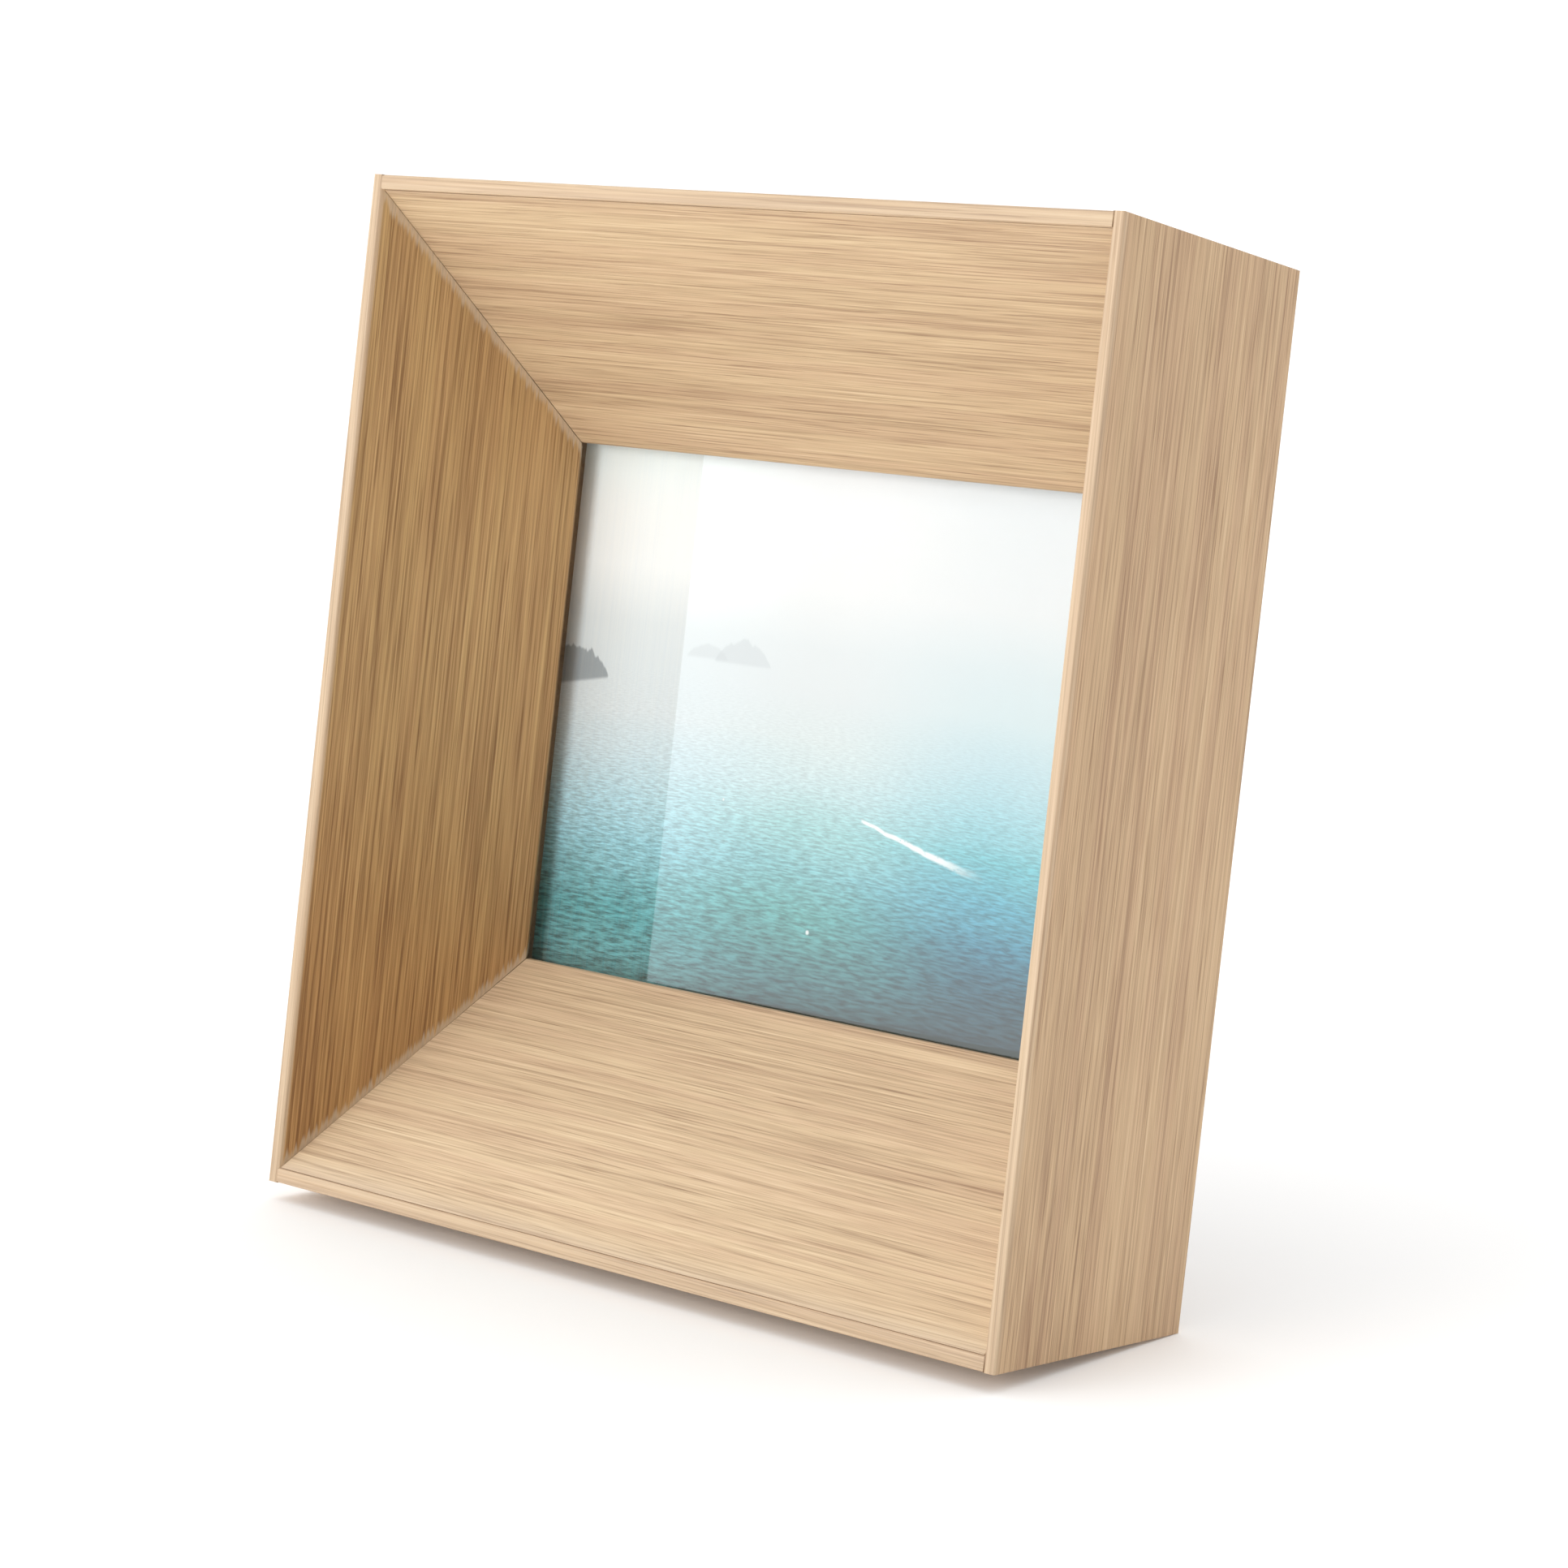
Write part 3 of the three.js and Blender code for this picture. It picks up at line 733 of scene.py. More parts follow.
@dataclass(frozen=True)
class ClearGlass(Finish):
    """Thin float glass that lets light straight through and mirrors the room."""

    body: Colour = (0.995, 1.000, 0.998)
    mirror: float = 2.4

    IOR = 1.5
    POLISH = 0.02

    def paint(self, graph: Graph) -> bpy.types.NodeSocket:
        """A mirror on the outside of clear glass, stronger at a slant.

        Args:
            graph: the material's nodes.

        Returns:
            The shader to show.
        """
        clear = graph.node("ShaderNodeBsdfTransparent", None, {"Color": as_colour(self.body)})
        gloss = graph.node("ShaderNodeBsdfGlossy", None,
                           {"Color": as_colour(PLAIN), "Roughness": self.POLISH})
        fresnel = Term(graph, graph.node("ShaderNodeFresnel", None, {"IOR": self.IOR}).outputs[0])
        inside = Term(graph, graph.node("ShaderNodeNewGeometry").outputs["Backfacing"])
        share = (fresnel * self.mirror).at_most(1.0) * (1.0 - inside)
        sockets = {0: share, 1: clear.outputs[0], 2: gloss.outputs[0]}
        return graph.node("ShaderNodeMixShader", None, sockets).outputs[0]


@dataclass(frozen=True)
class Isle:
    """A low island: its middle, waterline, half length and height, in halves of the print."""

    middle: float
    shore: float
    reach: float
    peak: float
    strength: float
    colour: Colour
    tilt: float = 0.0

    ROCK_SCALE = (34.0, 9.0)  # along the island, and from one island to another
    ROUNDING = 0.8
    HEIGHT, RUGGED, LOWEST = 0.95, 0.75, 0.05  # of the peak
    SKY_EDGE = (0.0, 0.012)
    WATER_EDGE = (-0.012, 0.004)
    POINT = (0.0, 0.08)

    def shown(self, graph: Graph, across: Term, up: Term) -> Term:
        """Where the island shows.

        Args:
            graph: the material's nodes.
            across: the place across the print, from -1 to 1.
            up: the place up the print, from -1 to 1.

        Returns:
            A mask that is 1 on the island.
        """
        along, apart = self.ROCK_SCALE
        rocks = graph.noise(graph.point(across * along, self.middle * apart, 0.0), 1.0, 3.0, 0.6)
        aside = across - self.middle
        hump = (1.0 - (aside / self.reach) ** 2.0).at_least(0.0)
        shore = aside * self.tilt + self.shore
        rugged = (self.HEIGHT + rocks.swing(self.RUGGED)).at_least(self.LOWEST)
        skyline = (hump ** self.ROUNDING) * rugged * self.peak + shore
        land = (skyline - up).step(*self.SKY_EDGE) * (up - shore).step(*self.WATER_EDGE)
        return land * hump.step(*self.POINT)


@dataclass(frozen=True)
class Wake:
    """The white trail behind a boat, in halves of the print."""

    start: Point2 = (0.06, -0.25)
    reach: float = 0.40
    fall: float = 0.150
    curl: float = 0.016
    wobble: float = 0.022
    width: float = 0.0085
    spread: float = 0.024

    WOBBLE_SCALE = 13.0
    SPRAY_SCALE = 60.0
    SOFT_EDGE = (1.0, 0.3)
    HEAD = (-0.03, 0.0)
    TAIL = (1.0, 0.55)
    BROKEN = (0.25, 0.45)
    FOAM = (0.90, 0.92, 0.92)

    def shown(self, graph: Graph, across: Term, up: Term) -> Term:
        """Where the wake shows.

        Args:
            graph: the material's nodes.
            across: the place across the print, from -1 to 1.
            up: the place up the print, from -1 to 1.

        Returns:
            A mask that is 1 in the foam.
        """
        along = (across - self.start[0]) / self.reach
        swerve = graph.noise(graph.point(across * self.WOBBLE_SCALE, 0.0, 5.0), 1.0, 1.0)
        path = self.start[1] - along * self.fall + (along * along) * self.curl + swerve.swing(self.wobble)
        place = graph.point(across * self.SPRAY_SCALE, up * self.SPRAY_SCALE, 7.0)
        spray = graph.noise(place, 1.0, 3.0, 0.7)
        wide = self.width + along.at_least(0.0) * self.spread * spray
        sides = ((up - path) / wide).step(*self.SOFT_EDGE) * ((path - up) / wide).step(*self.SOFT_EDGE)
        return sides * along.step(*self.HEAD) * along.step(*self.TAIL) * spray.step(*self.BROKEN)


@dataclass(frozen=True)
class Seascape(Finish):
    """A photographic print of a misty sea with low islands, on satin paper."""

    half: Point2 = (1.0, 1.0)
    wake: Wake = Wake()

    NEAR_SHORE = (
        (0.03, (0.107, 0.306, 0.319)),
        (0.08, (0.118, 0.362, 0.386)),
        (0.14, (0.107, 0.381, 0.412)),
        (0.20, (0.183, 0.464, 0.513)),
        (0.27, (0.329, 0.615, 0.697)),
        (0.34, (0.475, 0.709, 0.784)),
        (0.42, (0.636, 0.773, 0.827)),
        (0.50, (0.744, 0.811, 0.842)),
        (0.58, (0.771, 0.836, 0.864)),
        (0.66, (0.805, 0.860, 0.882)),
        (0.76, (0.968, 0.995, 1.000)),
        (0.86, (0.974, 1.000, 1.000)),
        (0.96, (0.929, 1.000, 1.000)),
    )
    MID_WATER = (
        (0.03, (0.035, 0.110, 0.120)),
        (0.08, (0.048, 0.163, 0.181)),
        (0.14, (0.069, 0.256, 0.261)),
        (0.20, (0.103, 0.362, 0.356)),
        (0.27, (0.205, 0.470, 0.498)),
        (0.34, (0.327, 0.576, 0.583)),
        (0.42, (0.525, 0.667, 0.683)),
        (0.50, (0.643, 0.707, 0.707)),
        (0.58, (0.691, 0.723, 0.731)),
        (0.66, (0.710, 0.740, 0.748)),
        (0.76, (0.800, 0.800, 0.800)),
        (0.90, (0.830, 0.830, 0.830)),
    )
    OPEN_SEA = (
        (0.03, (0.022, 0.055, 0.070)),
        (0.08, (0.028, 0.082, 0.110)),
        (0.14, (0.033, 0.125, 0.180)),
        (0.20, (0.048, 0.220, 0.318)),
        (0.27, (0.088, 0.356, 0.464)),
        (0.34, (0.158, 0.484, 0.547)),
        (0.42, (0.333, 0.590, 0.651)),
        (0.50, (0.484, 0.651, 0.699)),
        (0.58, (0.598, 0.700, 0.723)),
        (0.66, (0.640, 0.715, 0.735)),
        (0.76, (0.735, 0.756, 0.766)),
        (0.90, (0.745, 0.770, 0.785)),
    )
    SHORE_TO_MID = (-0.77, -0.12)
    MID_TO_OPEN = (-0.12, 0.50)
    SWELL_SCALE = (2.2, 5.0)
    SWELL_SHARE = 0.07
    SWELL_FADE = (0.62, 0.40)

    HORIZON = 0.42
    FARTHEST = 0.02
    RIPPLE_SCALE = (22.0, 7.0, 105.0)  # across, up and away
    RIPPLE_EDGE = (0.28, 0.72)
    RIPPLE_SHARE = 1.05
    CHOP_SCALE = (60.0, 20.0, 330.0)
    CHOP_SHARE = 1.0
    RIPPLE_FADE = (0.10, 1.45)

    ISLES = (
        Isle(-0.505, 0.232, 0.070, 0.052, 0.36, (0.560, 0.600, 0.620)),
        Isle(-0.385, 0.226, 0.095, 0.092, 0.46, (0.540, 0.580, 0.600)),
        Isle(-0.985, 0.075, 0.150, 0.142, 0.70, (0.185, 0.235, 0.275), 0.26),
    )
    BOATS = (((-0.08, -0.66), 0.007), ((-0.40, -0.255), 0.004))  # places and sizes
    BOAT = (0.85, 0.87, 0.87)
    BOAT_EDGE = (1.6, 0.6)
    BOAT_SHARE = 0.9
    SHAPE = 1.5  # the print's width over its height

    # painted shade: a dark band along the print's lower edge that widens to the right and fades out towards
    # the left
    LOWER_EDGE_SHADE = (0.002, 0.030, 0.026)
    LOWER_SHADE_START = (-0.58, -0.9415)
    LOWER_SHADE_RISE = 0.019
    LOWER_SHADE_FADE = (-0.58, -0.30)
    LOWER_SHADE_SOFT = (-0.002, 0.001)
    EDGE_SHADE = (-1.015, -0.955)
    SHADE_DEPTH = 0.12

    SATIN = (0.42, 0.06)
    SPECULAR = 0.2
    PAPER_SCALE = 2500.0
    BUMP = (0.05, 0.02 * MM)

    def _water(self, graph: Graph, across: Term, up: Term) -> Term:
        """Mist over pale water that deepens towards the viewer.

        Args:
            graph: the material's nodes.
            across: the place across the print, from -1 to 1.
            up: the place up the print, from -1 to 1.

        Returns:
            The colour.
        """
        height = up * 0.5 + 0.5
        wide, tall = self.SWELL_SCALE
        swell = graph.noise(graph.point(across * wide, up * tall, 0.0), 1.0, 3.0)
        placed = height + swell.swing(self.SWELL_SHARE) * height.step(*self.SWELL_FADE)
        sea = graph.blend(across.step(*self.SHORE_TO_MID), graph.ramp(placed, self.NEAR_SHORE),
                          graph.ramp(placed, self.MID_WATER))
        return graph.blend(across.step(*self.MID_TO_OPEN), sea, graph.ramp(placed, self.OPEN_SEA))

    def _boats(self, graph: Graph, sea: Term, across: Term, up: Term) -> Term:
        """The sea with a tiny boat or two on it.

        Args:
            graph: the material's nodes.
            sea: the colour so far.
            across: the place across the print, from -1 to 1.
            up: the place up the print, from -1 to 1.

        Returns:
            The colour.
        """
        outer, inner = self.BOAT_EDGE
        for place, size in self.BOATS:
            off = ((across - place[0]) * self.SHAPE) ** 2.0 + (up - place[1]) ** 2.0
            mask = (off ** 0.5).step(size * outer, size * inner)
            sea = graph.blend(mask * self.BOAT_SHARE, sea, self.BOAT)
        return sea

    def paint(self, graph: Graph) -> bpy.types.NodeSocket:
        """Mist and water with ripples, islands, a wake and boats, and painted shade where the frame's edges
        darken it, along its lower and left edges.

        Args:
            graph: the material's nodes.

        Returns:
            The shader to show.
        """
        x, depth, z = graph.own_coordinates(self.stance)
        across, up = x / self.half[0], z / self.half[1]
        near = (self.HORIZON - up).at_least(self.FARTHEST)
        wide, lean, away = self.RIPPLE_SCALE
        sway = across * wide + up * lean
        ripples = graph.noise(graph.point(sway / near, near.log() * away, 0.0), 1.0, 2.0, 0.6)
        wide, lean, tall = self.CHOP_SCALE
        chop = graph.noise(graph.point(across * wide + up * lean, up * tall, 3.0), 1.0, 1.0)
        waves = ripples.step(*self.RIPPLE_EDGE).swing(self.RIPPLE_SHARE) + chop.swing(self.CHOP_SHARE)
        sea = graph.dim(self._water(graph, across, up), 1.0 + waves * near.step(*self.RIPPLE_FADE))
        for isle in self.ISLES:
            sea = graph.blend(isle.shown(graph, across, up) * isle.strength, sea, isle.colour)
        sea = graph.blend(self.wake.shown(graph, across, up), sea, self.wake.FOAM)
        sea = self._boats(graph, sea, across, up)
        # painted shade along the lower edge
        start, low = self.LOWER_SHADE_START
        wedge = (across - start).at_least(0.0) * self.LOWER_SHADE_RISE + low - up
        deep = wedge.step(*self.LOWER_SHADE_SOFT) * across.step(*self.LOWER_SHADE_FADE)
        sea = graph.blend(deep, sea, self.LOWER_EDGE_SHADE)
        lit = across.step(*self.EDGE_SHADE) * self.SHADE_DEPTH + (1.0 - self.SHADE_DEPTH)
        rough, choppy = self.SATIN
        paper = graph.noise(graph.point(x, depth, z), self.PAPER_SCALE, 1.0)
        return graph.principled({
            "Base Color": graph.dim(sea, lit),
            "Roughness": rough + chop.swing(choppy),
            "Specular IOR Level": self.SPECULAR,
            "Normal": graph.bump(paper, *self.BUMP),
        })


@dataclass(frozen=True)
class StudioWhite(Finish):
    """The matt white of a studio floor, lit a little from below."""

    glow: float = 0.05

    TONES = ((0.3, (0.945, 0.943, 0.940)), (0.7, (0.960, 0.960, 0.958)))
    MOTTLE_SCALE = 3.0

    def paint(self, graph: Graph) -> bpy.types.NodeSocket:
        """Almost even, with the faintest mottling.

        Args:
            graph: the material's nodes.

        Returns:
            The shader to show.
        """
        mottled = graph.noise(graph.point(*graph.own_coordinates(self.stance)), self.MOTTLE_SCALE, 2.0)
        return graph.principled({
            "Base Color": graph.ramp(mottled, self.TONES),
            "Roughness": 0.9,
            "Specular IOR Level": 0.1,
            "Emission Color": as_colour(PLAIN),
            "Emission Strength": self.glow,
        })


FIBREBOARD = Fibreboard("bare_fibreboard", "fibreboard")
BACKING_FACE = BlackBoard("black_facing", "black_board")
STRUT_FACE = BlackBoard("black_strut_facing", "black_board", STRUT_STANCE)
STEEL = SheetMetal("bright_steel_plate", "bright_steel")
STRUT_STEEL = SheetMetal("bright_steel_strut_leaf", "bright_steel", STRUT_STANCE)
BRASS = SheetMetal("brass_plate", "brass", STANCE, (0.50, 0.36, 0.16), (0.74, 0.57, 0.29))
RUBBER = Rubber("soft_rubber", "rubber")


# ---- meshes ----


def mesh_object(name: str, mesh: bpy.types.Mesh) -> bpy.types.Object:
    """A mesh as an object in the scene, at the origin.

    Args:
        name: the object's name.
        mesh: its mesh.

    Returns:
        The object.
    """
    made = bpy.data.objects.new(name, mesh)
    bpy.context.scene.collection.objects.link(made)
    return made


def plain_mesh(name: str, shape: bmesh.types.BMesh) -> bpy.types.Mesh:
    """Turns a finished shape into a mesh, and frees it.

    Args:
        name: the mesh's name.
        shape: the shape, which can't be used afterwards.

    Returns:
        The mesh.
    """
    mesh = bpy.data.meshes.new(name)
    shape.to_mesh(mesh)
    shape.free()
    return mesh


def settle(piece: bpy.types.Object) -> bpy.types.Object:
    """Turns what a piece's modifiers make of it into its plain mesh, and removes them.

    Args:
        piece: the piece.

    Returns:
        The same piece.
    """
    graph = bpy.context.evaluated_depsgraph_get()
    mesh = bpy.data.meshes.new_from_object(piece.evaluated_get(graph), depsgraph=graph)
    piece.modifiers.clear()
    piece.data = mesh
    mesh.name = piece.name
    return piece


def finish_piece(
    piece: bpy.types.Object,
    finish: Finish,
    body: str,
    nodes: Sequence[str],
) -> bpy.types.Object:
    """Dresses a piece, rides it on its body and lets it stand for its CAD nodes.

    Args:
        piece: the finished mesh, in place.
        finish: what it is covered with.
        body: the CAD body that it moves with.
        nodes: the CAD nodes that it stands for.

    Returns:
        The piece.
    """
    piece.data.materials.clear()
    piece.data.materials.append(finish.material())
    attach(piece, body)
    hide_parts(*nodes)
    LOG.info("%s: %d faces, for %s", piece.name, len(piece.data.polygons), ", ".join(nodes))
    return piece


def dress_node(node: str, finish: Finish) -> None:
    """Gives a CAD node that stays its finish.

    Args:
        node: the node's name.
        finish: what it is covered with.
    """
    shown = frame["nodes"][node]
    shown.data.materials.clear()
    shown.data.materials.append(finish.material())
    LOG.info("%s: the packed node, with a finish", node)


EdgeRule = Callable[[Vector, Vector], float]
Nudge = Callable[[Vector], Vector]

SAME_PLACE = 1e-6  # corners that are closer together are one
FLAT = math.radians(0.5)  # faces that meet at less are one
SHARP = math.radians(15)  # edges that turn by more are rounded
CREASE = math.radians(30)  # unrounded edges that turn by more aren't shaded smooth
TURNED_CREASE = math.radians(40)
SHORT_EDGE = 4 * MM


def every_edge(first: Vector, second: Vector) -> float:
    """Every edge gets the whole rounding."""
    return 1.0


def long_edges(first: Vector, second: Vector) -> float:
    """Long edges are eased, and the facets of round holes and knuckles are not."""
    return 1.0 if (second - first).length > SHORT_EDGE else 0.0


def softened(node: str, name: str, radius: float, rule: EdgeRule, stance: Stance = STANCE,
             segments: int = 4, nudge: Nudge | None = None) -> bpy.types.Object:
    """A CAD node's shape with its edges rounded over.

    Args:
        node: the CAD node to copy.
        name: the new piece's name.
        radius: the largest rounding, in metres.
        rule: what share of the radius an edge gets, from its two ends in the object's own space.
        stance: that space.
        segments: how many facets each rounding has.
        nudge: moves a corner, in the object's own space, before the edges are rounded.

    Returns:
        The piece, in place.
    """
    source = bmesh.new()
    source.from_mesh(frame["nodes"][node].data)
    bmesh.ops.remove_doubles(source, verts=source.verts, dist=SAME_PLACE)
    bmesh.ops.dissolve_limit(source, angle_limit=FLAT, verts=source.verts, edges=source.edges)
    bmesh.ops.recalc_face_normals(source, faces=source.faces)
    weights = source.edges.layers.float.new("bevel_weight_edge")
    back = stance.matrix.inverted()
    if nudge is not None:
        for corner in source.verts:
            corner.co = stance.matrix @ nudge(back @ corner.co)
    for edge in source.edges:
        sharp = len(edge.link_faces) == 2 and edge.calc_face_angle(0.0) > SHARP
        first, second = (back @ v.co for v in edge.verts)
        edge[weights] = rule(first, second) if sharp else 0.0
        edge.smooth = edge[weights] > 0 or edge.calc_face_angle(0.0) <= CREASE
    for face in source.faces:
        face.smooth = True
    piece = mesh_object(name, plain_mesh(name, source))
    rounding = piece.modifiers.new("rounding", "BEVEL")
    rounding.limit_method = "WEIGHT"
    rounding.width = radius
    rounding.segments = segments
    rounding.harden_normals = True
    return settle(piece)


def turned(name: str, profile: Sequence[Point2], sides: int = 40) -> bpy.types.Mesh:
    """A solid of revolution about the y axis.

    Args:
        name: the mesh's name.
        profile: its [radius, y] points, which start and end on the axis.
        sides: how many facets it has round.

    Returns:
        The mesh.
    """
    shape = bmesh.new()
    rings = []
    for radius, y in profile:
        if radius == 0:
            rings.append([shape.verts.new((0.0, y, 0.0))])
        else:
            angles = (2 * math.pi * k / sides for k in range(sides))
            rings.append([shape.verts.new((radius * math.cos(a), y, radius * math.sin(a))) for a in angles])
    for lower, upper in zip(rings, rings[1:]):
        for k in range(sides):
            after = (k + 1) % sides
            corners = [
                lower[k % len(lower)], lower[after % len(lower)],
                upper[after % len(upper)], upper[k % len(upper)],
            ]
            shape.faces.new(list(dict.fromkeys(corners)))
    bmesh.ops.recalc_face_normals(shape, faces=shape.faces)
    mesh = plain_mesh(name, shape)
    mesh.shade_smooth()
    mesh.set_sharp_from_angle(angle=TURNED_CREASE)
    return mesh


def domed(radius: float, flat: float, rise: float, steps: int, end: float = math.pi / 2) -> list[Point2]:
    """The profile of a domed end, from its rim to its middle.

    Args:
        radius: the rim's radius, in metres.
        flat: the flat middle's share of that radius.
        rise: how far the middle stands over the rim, in metres.
        steps: how many points there are.
        end: the angle that the curve stops at, where a whole quarter turn reaches the middle.

    Returns:
        The [radius, y] points, where y is 0 at the middle.
    """
    angles = np.linspace(0.0, end, steps)
    return [(radius * (flat + (1 - flat) * math.cos(a)), -rise * (1 - math.sin(a))) for a in angles]


def block(name: str, half: Vector) -> bpy.types.Mesh:
    """A box about the origin.

    Args:
        name: the mesh's name.
        half: its half width, depth and height.

    Returns:
        The mesh.
    """
    shape = bmesh.new()
    bmesh.ops.create_cube(shape, size=1.0, matrix=Matrix.Diagonal((*(half * 2), 1.0)))
    return plain_mesh(name, shape)


# ---- geometry nodes ----


@dataclass
class GeometryTree:
    """A geometry node tree with named inputs, which is put on a piece as a modifier."""

    name: str
    graph: Graph = field(init=False)
    inputs: dict[str, str] = field(init=False, default_factory=dict)
    source: bpy.types.Node = field(init=False)

    def __post_init__(self) -> None:
        """Makes the empty tree with its first input and its output."""
        tree = bpy.data.node_groups.new(self.name, "GeometryNodeTree")
        self.graph = Graph(tree)
        tree.interface.new_socket("Geometry", in_out="INPUT", socket_type="NodeSocketGeometry")
        tree.interface.new_socket("Geometry", in_out="OUTPUT", socket_type="NodeSocketGeometry")
        self.source = self.graph.node("NodeGroupInput")

    def add_input(self, name: str, kind: str) -> bpy.types.NodeSocket:
        """Adds an input.

        Args:
            name: the input's name.
            kind: its type of socket, such as Float.

        Returns:
            Its socket in the tree.
        """
        made = self.graph.tree.interface.new_socket(name, in_out="INPUT", socket_type=f"NodeSocket{kind}")
        self.inputs[name] = made.identifier
        return self.source.outputs[name]

    def end(self, geometry: bpy.types.NodeSocket, material: bpy.types.NodeSocket) -> None:
        """Ends the tree: instances become real, and take the material.

        Args:
            geometry: what the tree has made.
            material: what to cover it with.
        """
        real = self.graph.node("GeometryNodeRealizeInstances", None, {0: geometry})
        values = {0: real.outputs[0], "Material": material}
        dressed = self.graph.node("GeometryNodeSetMaterial", None, values)
        self.graph.node("NodeGroupOutput", None, {0: dressed.outputs[0]})

    def grow(self, name: str, start: bpy.types.Mesh, values: Mapping[str, Any]) -> bpy.types.Object:
        """The plain mesh that the tree makes.

        Args:
            name: the piece's name.
            start: the mesh that the tree starts from.
            values: the inputs, by name.

        Returns:
            The piece, with no modifier left on it.
        """
        piece = mesh_object(name, start)
        modifier = piece.modifiers.new(self.name, "NODES")
        modifier.node_group = self.graph.tree
        for key, value in values.items():
            modifier[self.inputs[key]] = value
        return settle(piece)


def fastener_tree() -> GeometryTree:
    """A copy of a template at each point, each turned by chance about its own y axis.

    Returns:
        The tree.
    """
    tree = GeometryTree("fasteners")
    template = tree.add_input("Template", "Object")
    largest = tree.add_input("Largest Turn", "Float")
    seed = tree.add_input("Seed", "Int")
    material = tree.add_input("Material", "Material")
    graph = tree.graph
    shape = graph.node("GeometryNodeObjectInfo", {"transform_space": "ORIGINAL"}, {"Object": template})
    chance = graph.node("FunctionNodeRandomValue", {"data_type": "FLOAT"},
                        {2: 0.0, 3: largest, "Seed": seed})
    turn = graph.node("ShaderNodeCombineXYZ", None, {1: chance.outputs[1]})
    turning = graph.node("FunctionNodeEulerToRotation", None, {0: turn.outputs[0]})
    copies = graph.node("GeometryNodeInstanceOnPoints", None, {
        "Points": tree.source.outputs["Geometry"],
        "Instance": shape.outputs["Geometry"],
        "Rotation": turning.outputs[0],
    })
    tree.end(copies.outputs[0], material)
    return tree


BEND_FACETS = 6


def hanger_tree() -> GeometryTree:
    """A bent strip along a line, with a row of notches cut in its lower edge.

    Returns:
        The tree.
    """
    tree = GeometryTree("sawtooth_strip")
    height = tree.add_input("Height", "Float")
    sheet = tree.add_input("Sheet", "Float")
    bend = tree.add_input("Bend Radius", "Float")
    start = tree.add_input("First Notch", "Vector")
    pitch = tree.add_input("Pitch", "Vector")
    count = tree.add_input("Notches", "Int")
    notch = tree.add_input("Notch", "Object")
    material = tree.add_input("Material", "Material")
    graph = tree.graph
    line = graph.node("GeometryNodeMeshToCurve", None, {0: tree.source.outputs["Geometry"]})
    rounded = graph.node("GeometryNodeFilletCurve", {"mode": "POLY"},
                         {0: line.outputs[0], "Radius": bend, "Count": BEND_FACETS})
    outline = graph.node("GeometryNodeCurvePrimitiveQuadrilateral", {"mode": "RECTANGLE"},
                         {"Width": sheet, "Height": height})
    strip = graph.node("GeometryNodeCurveToMesh", None,
                       {0: rounded.outputs[0], "Profile Curve": outline.outputs[0], "Fill Caps": True})
    places = graph.node("GeometryNodeMeshLine", {"mode": "OFFSET"},
                        {"Count": count, "Start Location": start, "Offset": pitch})
    tool = graph.node("GeometryNodeObjectInfo", {"transform_space": "ORIGINAL"}, {"Object": notch})
    tools = graph.node("GeometryNodeInstanceOnPoints", None,
                       {"Points": places.outputs[0], "Instance": tool.outputs["Geometry"]})
    real = graph.node("GeometryNodeRealizeInstances", None, {0: tools.outputs[0]})
    toothed = graph.node("GeometryNodeMeshBoolean", {"operation": "DIFFERENCE"},
                         {"Mesh 1": strip.outputs[0], "Mesh 2": real.outputs[0]})
    tree.end(toothed.outputs[0], material)
    return tree


# ---- wooden case ----


SAME_FACE = 1e-5  # corners within this of a face are on it


@dataclass(frozen=True)
class Inside:
    """The inner faces of the outer boards, half of the hollow's width and height at any depth."""

    start: Point2
    fall: Point2

    @classmethod
    def measured(cls) -> Inside:
        """Reads the faces from the left and the top boards.

        Returns:
            The faces.
        """
        starts, falls = [], []
        for node, axis in (("left_outer_board", 0), ("top_outer_board", 2)):
            corners = np.abs(STANCE.points(node))
            front = corners[corners[:, 1] < corners[:, 1].min() + SAME_FACE]
            back = corners[corners[:, 1] > corners[:, 1].max() - SAME_FACE]
            starts.append(front[:, axis].min())
            falls.append((starts[-1] - back[:, axis].min()) / (back[0, 1] - front[0, 1]))
        return cls(tuple(starts), tuple(falls))

    def half(self, axis: int, depth: float) -> float:
        """Half of the hollow at a depth: its width for axis 0, and its height for axis 1."""
        return self.start[axis] - self.fall[axis] * depth


INSIDE = Inside.measured()
GLUE_LINE = 0.02 * MM
LARGEST_GAP = 0.35 * MM


def reach_for(value: float, target: float) -> float:
    """Carries a coordinate out to within a glue line of a face, if it ends just short of it.

    Args:
        value: the coordinate.
        target: the face's distance from 0.

    Returns:
        The coordinate, moved or not.
    """
    gap = target - abs(value)
    if not 0 < gap < LARGEST_GAP:
        return value
    return math.copysign(target - GLUE_LINE, value)


